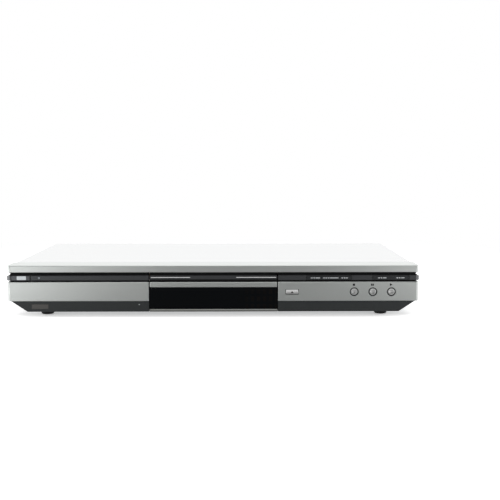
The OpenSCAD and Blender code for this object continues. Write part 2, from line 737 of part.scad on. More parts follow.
// Round key with a dished face and a flange behind the face plate
module round_key(x) {
    color(silver) placed() {
        difference() {
            union() {
                bar_y(x, low_key_z, -key_proud + 0.5, cap_back, round_key_dia / 2);
                bar_y(x, low_key_z, -key_proud, cap_back, round_key_dia / 2 - 0.5);
            }
            translate([x, -key_proud - 2.6, low_key_z]) sphere(r = 3.3);
        }
        bar_y(x, low_key_z, plate_t + hair, cap_back, round_key_dia / 2 + key_ring + 0.8);
        stem(x, low_key_z, cap_back - e);
    }
}

module key_stop() { round_key(play_x - 2 * round_key_pitch); }
module key_pause() { round_key(play_x - round_key_pitch); }
module key_play() { round_key(play_x); }

// Wide key that opens and closes the tray
module key_open() {
    color(silver) placed() {
        along_y(-key_proud, cap_back)
            rounded(open_key_x - open_key_w / 2, low_key_z - open_key_h / 2,
                open_key_x + open_key_w / 2, low_key_z + open_key_h / 2, [0.6, 0.6, 0.6, 0.6]);
        span([open_key_x - open_key_w / 2 - 1.2, plate_t + hair, low_key_z - open_key_h / 2 - 1.2],
            [open_key_x + open_key_w / 2 + 1.2, cap_back, low_key_z + open_key_h / 2 + 1.2]);
        stem(open_key_x, low_key_z, cap_back - e);
    }
}

// Key that fills a pocket of a control strip, with a stem through the strip's web
module pocket_key(x0, x1) {
    along_x(x0, x1) rounded(0.1, strip_z0 + hair, 1.9, strip_z1 - hair, [0.4, 0, 0, 0.4]);
}

module strip_key(i) {
    color(dark) placed() {
        pocket_key(strip_keys[i][0] + key_gap / 2, strip_keys[i][0] + strip_keys[i][1] - key_gap / 2);
        stem(strip_key_x(i), strip_mid, 1.9 - e);
    }
}

module strip_key_1() { strip_key(0); }
module strip_key_2() { strip_key(1); }
module strip_key_3() { strip_key(2); }
module strip_key_4() { strip_key(3); }
module strip_key_5() { strip_key(4); }

// Power key with a raised bright pad between two ribbed ends
module key_power() {
    color(dark) placed() {
        pocket_key(power_x0_key, power_x0_key + power_key_w);
        along_x(power_x - 5, power_x + 5) rounded(-0.3, strip_z0 + 0.3, 1, strip_z1 - 0.3, [0.3, 0, 0, 0.3]);
        for (k = [1:3])
            span([power_x + 4.9 + k * 1.2, -0.1, strip_z0 + 0.5], [power_x + 5.4 + k * 1.2, 1, strip_z1 - 0.5]);
        stem(power_x, strip_mid, 1.9 - e);
    }
}

// ---- Electronics ---------------------------------------------------------------------------

// Main board: it decodes the disc and carries the signal sockets
module main_board() {
    color(board_green) placed() difference() {
        span([main_x0, main_y0, board_z], [main_x0 + main_board_w, panel_front - hair, board_top]);
        for (p = main_feet) post(p[0], p[1], board_z - e, board_top + e, screw_hole_r);
    }
}

module power_board() {
    color("#b08d4f") placed() difference() {
        span([power_x0, power_y0, board_z], [power_x0 + power_board_w, panel_front - hair, board_top]);
        for (p = power_feet) post(p[0], p[1], board_z - e, board_top + e, screw_hole_r);
    }
}

// Upright boards behind the front: display, right keys and power key
module front_boards() {
    low = foot_h + wall_t + 0.6;
    back = board_front + board_t;
    color(board_green) placed() {
        difference() {
            union() {
                span([-tray_x, board_front, low], [tray_x, back, window_z1 - 1]);
                span([tray_x + 8, board_front, low_key_z - 5], [side_x - 9, back, strip_mid + 4.5]);
                span([-side_x + 9, board_front, plate_z0 + 2], [-side_x + 45, back, strip_mid + 4.5]);
                span([-side_x + 25, board_front, low], [-side_x + 45, back, plate_z0 + 2.5]);
            }
            for (p = board_posts) bar_y(p[0], p[1], board_front - e, back + e, screw_hole_r);
        }
        span([light_x - 1.6, board_front - 1.5, strip_mid - 1], [light_x + 1.6, board_front + e, strip_mid + 1]);
    }
}

// One small push switch under every key
module tact_switches() {
    color(black) placed() for (k = concat(right_keys, [[power_x, strip_mid]])) {
        span([k[0] - 3, board_front - 3.5, k[1] - 3], [k[0] + 3, board_front - 0.02, k[1] + 3]);
        bar_y(k[0], k[1], switch_y, board_front - 3.4, 1.7);
    }
}

// Fluorescent display tube with its row of pins and sealed filling tip
module display_tube() {
    color("#30383a") placed() {
        span([-tube_w / 2, recess_d + wall_t + 1, window_z0 + 3.4],
            [tube_w / 2, board_front - hair, window_z1 - 2.8]);
        for (k = [-12:12])
            span([k * 3.6 - 0.3, board_front - 1.6, window_z0 + 1.6],
                [k * 3.6 + 0.3, board_front - hair, window_z0 + 3.4 + e]);
        bar_x(board_front - 3, window_z1 - 7, tube_w / 2 - e, tube_w / 2 + 3, 1.4);
    }
}

module infrared_receiver() {
    color(black) placed() {
        span([sensor_x - 3.5, board_front - 4, sensor_z - 3], [sensor_x + 3.5, board_front - 0.02, sensor_z + 3.4]);
        translate([sensor_x, board_front - 4, sensor_z]) sphere(r = 2.4);
    }
}

// Flat chip with its rows of legs
module chip(x, y, w, h) {
    z = board_top + 0.02;
    pitch = 1.6;
    span([x, y, board_top + 0.4], [x + w, y + w, board_top + h]);
    for (k = [1:floor(w / pitch) - 1]) for (side = [0, w]) {
        span([x + k * pitch - 0.3, y + side - 1, z], [x + k * pitch + 0.3, y + side + 1, z + 0.5]);
        span([x + side - 1, y + k * pitch - 0.3, z], [x + side + 1, y + k * pitch + 0.3, z + 0.5]);
    }
}

module processor_chips() {
    color(black) placed() {
        chip(main_x0 + main_board_w / 2 - 20, main_y0 + 34, 28, 3.6);
        chip(main_x0 + 12, main_y0 + 40, 14, 2.4);
        chip(main_x0 + main_board_w - 36, main_y0 + 30, 14, 2.4);
        chip(main_x0 + main_board_w - 36, main_y0 + 62, 12, 2.2);
    }
}

// Ferrite transformer: core, winding and bobbin feet
module transformer() {
    x = power_x0 + power_board_w - 54;
    y = power_y0 + power_board_d / 2 - 9;
    z = board_top;
    color("#56524a") placed() {
        difference() {
            span([x, y, z + 4], [x + 32, y + 12, z + 30]);
            for (k = [0, 1]) span([x + 6 + k * 13, y - e, z + 9], [x + 13 + k * 13, y + 12 + e, z + 25]);
        }
        difference() {
            span([x + 4, y - 6, z + 7], [x + 28, y + 18, z + 27]);
            span([x - e, y - e, z + 3], [x + 6.2, y + 12 + e, z + 31]);
            span([x + 25.8, y - e, z + 3], [x + 32 + e, y + 12 + e, z + 31]);
        }
        for (k = [0:4]) for (s = [-6, 16.8])
            span([x + 5 + k * 5, y + s, z + 0.02], [x + 6.2 + k * 5, y + s + 1.2, z + 7 + e]);
    }
}

// Electrolytic capacitor standing on a board, with a scored top
module can(x, y, dia, h) {
    difference() {
        post(x, y, board_top + 0.02, board_top + h, dia / 2);
        for (a = [0, 90]) translate([x, y, board_top + h]) rotate([0, 0, a])
            cube([dia * 0.7, 0.4, 0.5], center = true);
    }
}

module capacitors() {
    color("#26344f") placed() {
        can(power_x0 + 32, power_y0 + power_board_d - 62, 18, 26);
        for (k = [0:2]) can(power_x0 + power_board_w - 14, power_y0 + 36 + k * 14, 10, 18);
        for (k = [0:3]) can(main_x0 + main_board_w / 2 + (k - 1.5) * 24, main_y0 + main_board_d - 50, 8, 12);
        for (k = [0:1]) can(main_x0 + 14, main_y0 + 64 + k * 12, 6.3, 10);
    }
}

module heat_sink() {
    x = power_x0 + power_board_w - 72;
    y = power_y0 + 22;
    color(steel) placed() {
        span([x, y, board_top + 0.02], [x + 2.4, y + 44, board_top + 26]);
        for (k = [0:7]) span([x - 7, y + k * 6, board_top + 2], [x + e, y + k * 6 + 1.4, board_top + 26]);
        difference() {
            span([x + 2.4 - e, y + 16, board_top + 6], [x + 6.8, y + 26, board_top + 21]);
            bar_x(y + 21, board_top + 17.5, x + 2.6, x + 7, 1.8);
        }
    }
}

// Two-pin mains inlet standing on the power board
module mains_inlet() {
    color(black) placed() {
        difference() {
            union() {
                span([inlet_x - inlet_w / 2, panel_front - 16, board_top + 0.02],
                    [inlet_x + inlet_w / 2, body_d, board_top + inlet_h]);
                span([inlet_x - inlet_w / 2 - 1.5, panel_back + hair, board_top - 1.5],
                    [inlet_x + inlet_w / 2 + 1.5, body_d + 1.6, board_top + inlet_h + 1.5]);
            }
            for (s = [-1, 1]) bar_y(inlet_x + s * 4.3, board_top + inlet_h / 2, panel_front - 12, body_d + 2, 4.3);
            span([inlet_x - 4.3, panel_front - 12, board_top + inlet_h / 2 - 4.3],
                [inlet_x + 4.3, body_d + 2, board_top + inlet_h / 2 + 4.3]);
        }
        for (s = [-1, 1]) bar_y(inlet_x + s * 4.3, board_top + inlet_h / 2, panel_front - 12.5, body_d - 1, 1.2);
    }
}

// Multi-way video socket: a block with two rows of slots and a slanted rim
module scart_socket() {
    color(black) placed() difference() {
        union() {
            span([scart_x - scart_w / 2, panel_front - 12, board_top + 0.02],
                [scart_x + scart_w / 2, body_d, board_top + scart_h]);
            along_y(body_d - e, body_d + 3) polygon([
                [scart_x - 22, board_top + 3], [scart_x + 22, board_top + 3],
                [scart_x + 22, board_top + 9], [scart_x + 18, board_top + 13], [scart_x - 22, board_top + 13]]);
        }
        for (k = [0:9]) for (r = [0, 1])
            span([scart_x - 19 + k * 3.8 + r * 1.9, body_d - 8, board_top + 4.6 + r * 4.4],
                [scart_x - 18 + k * 3.8 + r * 1.9, body_d + 4, board_top + 7.4 + r * 4.4]);
    }
}

// Three blocks of two phono sockets, one above the other
module phono_sockets() {
    color(black) placed() difference() {
        union() {
            for (x = phono_x)
                span([x - 5.5, panel_front - 12, board_top + 0.02], [x + 5.5, panel_front - hair, board_top + 27]);
            for (p = phono_spots) {
                bar_y(p[0], p[1], panel_front - 1, body_d, phono_collar);
                bar_y(p[0], p[1], body_d - e, body_d + jack_proud, phono_dia / 2);
            }
        }
        for (p = phono_spots) bar_y(p[0], p[1], panel_front - 4, body_d + jack_proud + e, 1.65);
    }
}

// Flat cables: main board to key board, and main board to loader, with their plugs
module ribbon_cables() {
    x = main_x0 + 14;
    y0 = board_front + board_t;
    y1 = main_y0 + 5;
    low = board_top + 11;
    color(white) placed() {
        span([x - 2, y1 - 2.5, board_top + 0.02], [x + 22, y1 + 2.5, board_top + 5]);
        span([x, y1 - 0.2, board_top + 4], [x + 20, y1 + 0.2, low]);
        span([x, y0 + 8, low - 0.4], [x + 20, y1 + 0.2, low]);
        span([x, y0 + 8, low - 0.4], [x + 20, y0 + 8.4, strip_mid - 6]);
        span([x, y0 + 3, strip_mid - 6.4], [x + 20, y0 + 8.4, strip_mid - 6]);
        span([x - 2, y0 + 0.02, strip_mid - 8.5], [x + 22, y0 + 4, strip_mid - 3.5]);
        span([main_x0 + 3, cable_y - 9, board_top + 0.02], [main_x0 + 8, cable_y + 9, board_top + 5]);
        span([main_x0 + 5.3, cable_y - 8, board_top + 4], [main_x0 + 5.7, cable_y + 8, board_top + 8]);
        span([guide_x - 4, cable_y - 8, board_top + 7.6], [main_x0 + 5.7, cable_y + 8, board_top + 8]);
        span([guide_x - 4, cable_y - 8, base_z1 + 4], [guide_x - 3.6, cable_y + 8, board_top + 8]);
        span([guide_x - 6, cable_y - 9, base_z1 + 0.02], [guide_x - 1.6, cable_y + 9, base_z1 + 5]);
    }
}

// Five wires with their plugs, from the power board to the main board
module supply_harness() {
    x0 = power_x0 + power_board_w - 8;
    x1 = main_x0 + 8;
    y = panel_front - 22;
    color("#d8d2c2") placed() {
        span([x0 - 3, y - 8, board_top + 0.02], [x0 + 3, y + 8, board_top + 7]);
        span([x1 - 3, y - 8, board_top + 0.02], [x1 + 3, y + 8, board_top + 7]);
        for (k = [-2:2]) bar_x(y + k * 2.5, board_top + 4, x0 + 3 - e, x1 - 3 + e, 0.7);
    }
}

// ---- Loader --------------------------------------------------------------------------------

// Moulded frame that carries the tray, its gears and the traverse
module loader_frame() {
    x1 = guide_x + guide_t;
    color("#2b2d2f") placed() difference() {
        union() {
            span([-x1, deck_y0, base_z0], [x1, loader_y1, base_z1]);
            both_sides() {
                span([guide_x, deck_y0, base_z0], [x1, loader_y1, bridge_z0]);
                span([guide_x, loader_y0, ledge_z - 2], [x1, deck_y0 + e, bridge_z0]);
                span([guide_x - 4.2, loader_y0, ledge_z - 2], [guide_x + e, loader_y1, ledge_z]);
                for (y = [loader_y0 + 2, 62, 150])
                    span([guide_x - 3.2, y, tray_z1 + slide_gap], [guide_x + e, y + 8, bridge_z0]);
            }
            for (p = loader_feet)
                span([min(p[0], sign(p[0]) * x1) - (p[0] < 0 ? 5 : e), p[1] - 5, base_z0],
                    [max(p[0], sign(p[0]) * x1) + (p[0] > 0 ? 5 : e), p[1] + 5, base_z1]);
            for (x = [deck_x0 - 4, deck_x1 + 0.5])
                span([x, hinge_back - 4, base_z1 - e], [x + 3.5, hinge_back + 4, hinge_z + 4]);
            for (g = [[drive_gear_x, tray_floor - 0.5], [pulley_gear_x, groove_z + groove_h + flange_h]]) {
                post(g[0], gears_back, base_z1 - e, wheel_z - 0.5, 3.4);
                post(g[0], gears_back, base_z1 - e, g[1], pin_r);
            }
            span([motor_x - 15, gears_back - motor_shelf, shelf_z],
                [motor_x + 15, gears_back + motor_shelf, shelf_z + 1.8]);
            for (x = [motor_x - 15, motor_x + 13.4])
                span([x, gears_back - motor_shelf, base_z1 - e], [x + 1.6, gears_back + motor_shelf, shelf_z + e]);
            for (y = [cam_y - 3.3, cam_y + 1.8])
                span([cam_pin_x - cam_travel - 14, y, base_z1 - e],
                    [cam_pin_x + cam_travel + 12, y + 1.5, base_z1 + 2]);
        }
        span([deck_x0 - 3, deck_front + 2, base_z0 - e], [deck_x1 + 3, hinge_back - 5, base_z1 + e]);
        for (p = loader_feet) post(p[0], p[1], base_z0 - e, base_z1 + e, screw_hole_r);
        bar_x(hinge_back, hinge_z, deck_x0 - 5, deck_x0, pin_r + run_fit);
        bar_x(hinge_back, hinge_z, deck_x1, deck_x1 + 5, pin_r + run_fit);
        post(motor_x, gears_back, shelf_z - e, shelf_z + 2, 4);
        span([guide_x - e, cable_y - 10, board_top + 5], [x1 + e, cable_y + 10, board_top + 10]);
        for (x = [-46, 46]) span([x - 8, loader_y1 - 22, base_z0 - e], [x + 8, loader_y1 - 10, base_z1 + e]);
    }
}

// Bridge across the tray that holds the clamper over the disc
module clamp_bridge() {
    x1 = guide_x + guide_t;
    color(steel) placed() difference() {
        union() {
            span([-x1, disc_back - 10, bridge_z0 + 0.02], [x1, disc_back + 10, bridge_z0 + bridge_t]);
            post(0, disc_back, bridge_z0 + 0.02, bridge_z0 + bridge_t, 24);
            both_sides() for (y = [-10, 8.8])
                span([22, disc_back + y, bridge_z0 + bridge_t - e],
                    [x1, disc_back + y + 1.2, bridge_z0 + bridge_t + 2.5]);
        }
        post(0, disc_back, bridge_z0 - e, bridge_z0 + bridge_t + e, 13.2);
        both_sides() post(x1 - 8, disc_back, bridge_z0 - e, bridge_z0 + bridge_t + e, 3);
    }
}

// Round clamper that hangs in the bridge and presses the disc onto the turntable
module clamper() {
    z = bridge_z0 + bridge_t + run_fit;
    color(white) placed() difference() {
        union() {
            post(0, disc_back, tray_z1 + 0.4, z + 1, 12);
            post(0, disc_back, z, z + 1.5, 17);
            post(0, disc_back, z, z + 3, 6);
        }
        post(0, disc_back, tray_z1 + 0.3, tray_z1 + 2.4, hub_dia / 2 + 0.6);
    }
}

// Tray with the disc's recess, the slot for the turntable and the rack underneath
module disc_tray() {
    y1 = tray_y0 + tray_l;
    teeth = floor(tray_travel / PI / load_module);
    color("#2f3133") placed() {
        difference() {
            union() {
                span([-tray_x, tray_y0, tray_floor], [tray_x, y1, tray_z1]);
                span([-tray_x, tray_y0, tray_z0], [tray_x, tray_y0 + 3, tray_z1]);
                both_sides() span([tray_x - 3.2, tray_y0, tray_z0], [tray_x, y1, tray_floor + e]);
            }
            post(0, disc_back, disc_z, tray_z1 + e, disc_dia / 2 + 0.7);
            post(0, disc_back, disc_z - 0.8, disc_z + e, 41);
            post(0, disc_back, tray_floor - e, tray_z1, slot_r);
            span([-slot_r, disc_back, tray_floor - e], [slot_r, y1 + e, tray_z1 + e]);
            translate([0, 0, tray_floor - e]) linear_extrude(tray_h - 4.5) difference() {
                translate([-tray_x + 3.2, tray_y0 + 3]) square([tray_w - 6.4, tray_l - 5]);
                translate([0, disc_back]) circle(disc_dia / 2 + 3.2);
                translate([-slot_r - 2.5, disc_back]) square([2 * slot_r + 5, tray_l]);
                translate([rack_x - 3, tray_y0]) square([8, tray_l + 1]);
            }
            both_sides() post(tray_x + 6, disc_back, disc_z, tray_z1 + e, 16);
        }
        intersection() {
            translate([rack_x, gears_back, tray_floor - 2.3]) linear_extrude(2.3 + e)
                mirror([1, 0]) rack_outline(load_module, -4, teeth, 4);
            span([rack_x - 3, tray_y0 + 3, tray_z0], [rack_x + 5, y1, tray_z1]);
        }
    }
}

// Dark upper part of the tray's door, which carries on the recess and the strip
module tray_door() {
    color(black) placed() along_x(-door_x, door_x) polygon([
        [0, strip_z0], [0, strip_z1], [recess_d - hair, strip_z1], [recess_d - hair, door_z1],
        [tray_y0 - hair, door_z1], [tray_y0 - hair, door_z0 + 0.6],
        [plate_t + hair, door_z0 + 0.6], [plate_t + hair, plate_z1 - hair],
        [recess_d - hair, plate_z1 - hair], [recess_d - hair, strip_z0]]);
}

// Bright lip along the door's lower edge
module door_lip() {
    color(silver) placed() intersection() {
        linear_extrude(body_h) rounded(-door_x, 0, door_x, plate_t, [0.8, 0.8, 0, 0]);
        along_x(-door_x, door_x) rounded(0, door_z0, plate_t, plate_z1 - hair, [0.8, 0, 0, 0.8]);
    }
}

module loading_motor() {
    color(steel) placed() {
        post(motor_x, gears_back, base_z1 + 1, shelf_z - hair, loading_motor_dia / 2);
        post(motor_x, gears_back, base_z1 + hair, base_z1 + 1 + e, 4);
        post(motor_x, gears_back, shelf_z - 0.2, shelf_z + 1, 3.2);
        post(motor_x, gears_back, shelf_z, groove_z + groove_h + flange_h, 1);
    }
}

// Grooved pulley: groove radius r, standing on Z = 0 with the lower flange first
module pulley(r) {
    cylinder(h = 2 * flange_h + groove_h, r = r);
    for (z = [0, flange_h + groove_h]) translate([0, 0, z]) cylinder(h = flange_h, r = r + flange_w);
}

module motor_pulley() {
    color(white) placed() translate([motor_x, gears_back, groove_z - flange_h]) difference() {
        pulley(motor_pulley_r);
        translate([0, 0, -e]) cylinder(h = 2 * flange_h + groove_h + 2 * e, r = 1 + run_fit);
    }
}

// Outline round two circles of radii r0 and r1, the second at distance d along X
module round_two(r0, r1, d) {
    a = acos((r0 - r1) / d);
    circle(r0);
    translate([d, 0]) circle(r1);
    polygon([[r0 * cos(a), r0 * sin(a)], [r0 * cos(a), -r0 * sin(a)],
        [d + r1 * cos(a), -r1 * sin(a)], [d + r1 * cos(a), r1 * sin(a)]]);
}

module drive_belt() {
    d = pulley_gear_x - motor_x;
    color(black) placed() translate([pulley_gear_x, gears_back, groove_z + hair]) mirror([1, 0, 0])
        linear_extrude(groove_h - 2 * hair) difference() {
            round_two(pulley_r + run_fit + belt_t, motor_pulley_r + run_fit + belt_t, d);
            round_two(pulley_r + run_fit, motor_pulley_r + run_fit, d);
        }
}

// Large pulley with its pinion, turning on the frame's pin
module pulley_gear() {
    color(white) placed() translate([pulley_gear_x, gears_back, 0]) difference() {
        union() {
            translate([0, 0, wheel_z - 0.4]) linear_extrude(wheel_t + 0.8)
                gear_outline(load_module, pinion_teeth, 180 / pinion_teeth);
            translate([0, 0, wheel_z]) cylinder(h = groove_z - wheel_z, r = pinion_r - 1.6 * load_module);
            translate([0, 0, groove_z - flange_h]) pulley(pulley_r);
        }
        translate([0, 0, wheel_z - 1]) cylinder(h = 12, r = pin_r + run_fit);
        for (a = [0:60:300]) rotate([0, 0, a]) translate([pulley_r * 0.62, 0, groove_z - 2])
            cylinder(h = 6, r = pulley_r * 0.2);
    }
}

// Large wheel with the small gear that moves the tray's rack
module drive_gear() {
    color(white) placed() translate([drive_gear_x, gears_back, 0]) difference() {
        union() {
            translate([0, 0, wheel_z]) linear_extrude(wheel_t) gear_outline(load_module, wheel_teeth, 0);
            translate([0, 0, wheel_z]) cylinder(h = tray_floor - 0.3 - wheel_z, r = 4.6);
            translate([0, 0, tray_z0 + 0.5]) linear_extrude(tray_floor - tray_z0 - 0.8)
                gear_outline(load_module, rack_gear_teeth, 180 / rack_gear_teeth);
        }
        translate([0, 0, wheel_z - e]) cylinder(h = tray_floor, r = pin_r + run_fit);
        for (a = [0:60:300]) rotate([0, 0, a]) translate([wheel_r * 0.6, 0, wheel_z - e])
            cylinder(h = wheel_t + 2 * e, r = wheel_r * 0.18);
    }
}

// Slider whose slanted slot lifts and lowers the front of the traverse
module cam_slider() {
    length = norm([cam_travel, cam_drop]);
    color(white) placed() difference() {
        union() {
            span([cam_pin_x - 12, cam_y - 1.5, base_z1 + hair],
                [cam_pin_x + cam_travel + 10, cam_y + 1.5, hinge_z + 5]);
            span([cam_pin_x - 12, gears_back + motor_shelf + 1, base_z1 + 2.4],
                [cam_pin_x + 2, cam_y - 1.5 + e, base_z1 + 5]);
        }
        translate([cam_pin_x, cam_y + 2, hinge_z]) rotate([90, atan2(cam_drop, cam_travel), 0]) linear_extrude(4) {
            circle(cam_slot_w / 2);
            translate([length, 0]) circle(cam_slot_w / 2);
            translate([0, -cam_slot_w / 2]) square([length, cam_slot_w]);
        }
    }
}

// ---- Traverse ------------------------------------------------------------------------------

// Tipping deck that carries the spindle motor, the pickup's rods and the feed
module traverse_frame() {
    color("#4a4c4e") placed() difference() {
        union() {
            span([deck_x0, deck_front, deck_z0], [deck_x1, deck_back, deck_z1]);
            for (s = [-1, 1], y = [deck_front + 3, deck_back - 5])
                span([s * rod_span / 2 - 4, y, deck_z1 - e], [s * rod_span / 2 + 4, y + 4, rod_z + rod_dia]);
            for (x = [deck_x0, deck_x1 - 5])
                span([x, deck_back - e, hinge_z - 2.5], [x + 5, hinge_back + 2.5, hinge_z + 2.5]);
            bar_x(hinge_back, hinge_z, deck_x0 - 4, deck_x0 + 1, pin_r);
            bar_x(hinge_back, hinge_z, deck_x1 - 1, deck_x1 + 4, pin_r);
            bar_y(cam_pin_x, hinge_z, cam_y - 2.4, deck_front + 1, pin_r);
        }
        span([-pickup_x - 1.5, pickup_y0 - 1.5, deck_z0 - e], [pickup_x + 1.5, deck_back - 6.5, deck_z1 + e]);
        for (s = [-1, 1]) bar_y(s * rod_span / 2, rod_z, deck_front, deck_back + 1, rod_dia / 2 + 0.02);
        post(feed_x, feed_y, deck_z0 - e, deck_z1 + e, 3);
        post(0, disc_back, deck_z0 - e, deck_z1 + e, 5);
        span([feed_rack_x + 5, feed_y + 16, deck_z0 - e], [deck_x1 - 6, deck_back - 8, deck_z1 + e]);
    }
}

module spindle_motor() {
    color(steel) placed() {
        post(0, disc_back, deck_z1 + 0.02, spindle_top - 1, spindle_motor_dia / 2);
        post(0, disc_back, spindle_top - 1 - e, spindle_top, spindle_motor_dia / 2 - 3);
        post(0, disc_back, deck_z0, deck_z1 + 0.03, 4.8);
        post(0, disc_back, spindle_top - e, seat_z - 0.5, 1);
    }
}

// Turntable with the hub that centres the disc
module turntable() {
    color("#3a3c3e") placed() difference() {
        union() {
            post(0, disc_back, spindle_top + 0.4, seat_z - 0.6, turntable_dia / 2 - 1);
            post(0, disc_back, seat_z - 2, seat_z, turntable_dia / 2);
            post(0, disc_back, seat_z - e, seat_z + 1.4, hub_dia / 2);
            translate([0, disc_back, seat_z + 1.4 - e]) cylinder(h = 1.2, r1 = hub_dia / 2, r2 = hub_dia / 2 - 1.6);
        }
        post(0, disc_back, spindle_top, seat_z - 0.4, 1 + run_fit);
        post(0, disc_back, seat_z + 1.6, seat_z + 3, 2);
    }
}

// Laser pickup riding on the two rods, with its lens and the feed rack
module pickup() {
    y1 = pickup_y0 + 24;
    first = -floor((pickup_travel + 6) / PI / feed_module);
    color("#1f2123") placed() {
        difference() {
            union() {
                span([-pickup_x + 0.4, pickup_y0, deck_z0 + 1], [pickup_x - 0.4, y1, rod_z + 3]);
                span([-rod_span / 2 - 3.6, pickup_y0, deck_z1 + 0.6], [-pickup_x + 1, y1, rod_z + 3]);
                span([pickup_x - 1, pickup_y0, deck_z1 + 0.6], [feed_rack_x - 2.4, y1, rod_z + 3]);
                span([-8, lens_y - 7.5, rod_z + 2], [8, lens_y + 9, tray_floor + 0.3]);
            }
            bar_y(-rod_span / 2, rod_z, pickup_y0 - e, y1 + e, rod_dia / 2 + run_fit);
            bar_y(rod_span / 2, rod_z, pickup_y0 - e, y1 + e, rod_dia / 2 + run_fit);
            post(0, lens_y, rod_z + 3.5, tray_floor + 1, 3.2);
        }
        post(0, lens_y, rod_z + 3, tray_floor + 0.9, 2.4);
        translate([feed_rack_x, feed_y, feed_z + 0.2]) linear_extrude(2.2)
            rack_outline(feed_module, first, 2, 2.6);
    }
}

module guide_rods() {
    color(steel) placed() both_sides()
        bar_y(rod_span / 2, rod_z, deck_front + 2, deck_back - 0.4, rod_dia / 2);
}

module feed_motor() {
    color(steel) placed() {
        post(feed_x, feed_y, deck_z0 - 9.5, deck_z0 - 0.02, 10);
        post(feed_x, feed_y, deck_z0 - 0.03, deck_z1 - 0.4, 2.9);
        post(feed_x, feed_y, deck_z0 - 1, feed_z + 2.8, 1);
    }
}

module feed_gear() {
    color(white) placed() translate([feed_x, feed_y, feed_z]) difference() {
        union() {
            linear_extrude(2.6) gear_outline(feed_module, feed_teeth, 180 / feed_teeth);
            translate([0, 0, -0.6]) cylinder(h = 1, r = 3.4);
        }
        translate([0, 0, -1]) cylinder(h = 5, r = 1 + run_fit);
    }
}

chassis();
top_cover();
rear_panel();
front_frame();
top_trim();
left_fascia();
right_fascia();
left_strip();
right_strip();
display_window();
window_sill();
sensor_window();
indicator_lens();
feet();
cover_screws();
chassis_screws();
key_power();
key_open();
key_stop();
key_pause();
key_play();
strip_key_1();
strip_key_2();
strip_key_3();
strip_key_4();
strip_key_5();
main_board();
power_board();
front_boards();
tact_switches();
display_tube();
infrared_receiver();
processor_chips();
transformer();
capacitors();
heat_sink();
mains_inlet();
scart_socket();
phono_sockets();
ribbon_cables();
supply_harness();
loader_frame();
clamp_bridge();
clamper();
disc_tray();
tray_door();
door_lip();
loading_motor();
motor_pulley();
drive_belt();
pulley_gear();
drive_gear();
cam_slider();
traverse_frame();
spindle_motor();
turntable();
pickup();
guide_rods();
feed_motor();
feed_gear();
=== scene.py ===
"""The look of a slim hi-fi disc player with a sliding tray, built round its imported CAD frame."""

from __future__ import annotations

import json
import logging
import math
from collections.abc import Callable, Iterable, Sequence
from dataclasses import dataclass
from enum import Enum

import bmesh
import bpy
from mathutils import Matrix, Vector

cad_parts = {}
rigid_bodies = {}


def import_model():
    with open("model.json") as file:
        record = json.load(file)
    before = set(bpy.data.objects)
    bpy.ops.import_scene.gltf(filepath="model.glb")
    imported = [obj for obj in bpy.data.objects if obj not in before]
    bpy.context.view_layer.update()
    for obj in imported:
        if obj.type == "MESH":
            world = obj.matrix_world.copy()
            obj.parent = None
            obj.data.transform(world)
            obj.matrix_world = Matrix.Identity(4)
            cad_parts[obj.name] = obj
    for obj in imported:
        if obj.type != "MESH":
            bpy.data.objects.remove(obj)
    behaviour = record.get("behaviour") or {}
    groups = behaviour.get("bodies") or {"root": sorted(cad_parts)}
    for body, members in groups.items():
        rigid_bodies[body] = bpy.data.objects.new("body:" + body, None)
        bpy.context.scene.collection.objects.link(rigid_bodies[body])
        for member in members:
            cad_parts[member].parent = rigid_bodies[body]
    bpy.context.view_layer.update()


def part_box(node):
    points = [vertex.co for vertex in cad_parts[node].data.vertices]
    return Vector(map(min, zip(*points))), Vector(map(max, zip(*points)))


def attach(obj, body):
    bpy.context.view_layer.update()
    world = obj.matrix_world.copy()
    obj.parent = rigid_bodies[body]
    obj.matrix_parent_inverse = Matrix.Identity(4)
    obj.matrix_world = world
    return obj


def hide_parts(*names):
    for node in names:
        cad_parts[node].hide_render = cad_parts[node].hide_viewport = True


LOG = logging.getLogger("disc_player")
FRONT_Y = -128.6  # mm, where the front face is along Y
ROOT = "case"

Tree = bpy.types.NodeTree
Node = bpy.types.Node
Socket = bpy.types.NodeSocket

# The mix node has sockets of the same name for every kind of value, so they are called by number
MIX_AMOUNT, MIX_FROM, MIX_TO = 0, 2, 3
MIX_FROM_COLOUR, MIX_TO_COLOUR, MIXED_COLOUR = 6, 7, 2


def at(x: float, depth: float, z: float) -> Vector:
    """Turns millimetres right of the middle, behind the front face and above the shelf into metres."""
    return Vector((x, FRONT_Y + depth, z)) / 1000


def per_mm(size: float) -> float:
    """The scale of a pattern, in repeats per metre, whose features are that many millimetres across."""
    return 1000 / size


def linear(colour: str) -> tuple[float, float, float, float]:
    """Turns an sRGB hex colour into linear RGBA.

    Args:
        colour: Six hex digits after a hash sign.

    Returns:
        Linear red, green, blue and an alpha of 1.
    """
    channels = [int(colour[i : i + 2], 16) / 255 for i in (1, 3, 5)]
    return tuple(c / 12.92 if c <= 0.04045 else ((c + 0.055) / 1.055) ** 2.4 for c in channels) + (1.0,)


def add(
    tree: Tree,
    kind: str,
    inputs: dict[str | int, object] | None = None,
    into: Socket | None = None,
    **settings: object,
) -> Node:
    """Adds a node with its settings, values and links.

    Args:
        tree: The node tree that takes it.
        kind: The node's type name.
        inputs: Socket name or number to the value it holds or the socket that feeds it.
        into: The socket that its first output feeds.
        settings: Attributes of the node itself.

    Returns:
        The new node.
    """
    node = tree.nodes.new(kind)
    for name, value in settings.items():
        setattr(node, name, value)
    for key, value in (inputs or {}).items():
        if isinstance(value, Socket):
            tree.links.new(value, node.inputs[key])
        else:
            node.inputs[key].default_value = value
    if into is not None:
        tree.links.new(node.outputs[0], into)
    return node


# ---- Finishes ------------------------------------------------------------------------------------


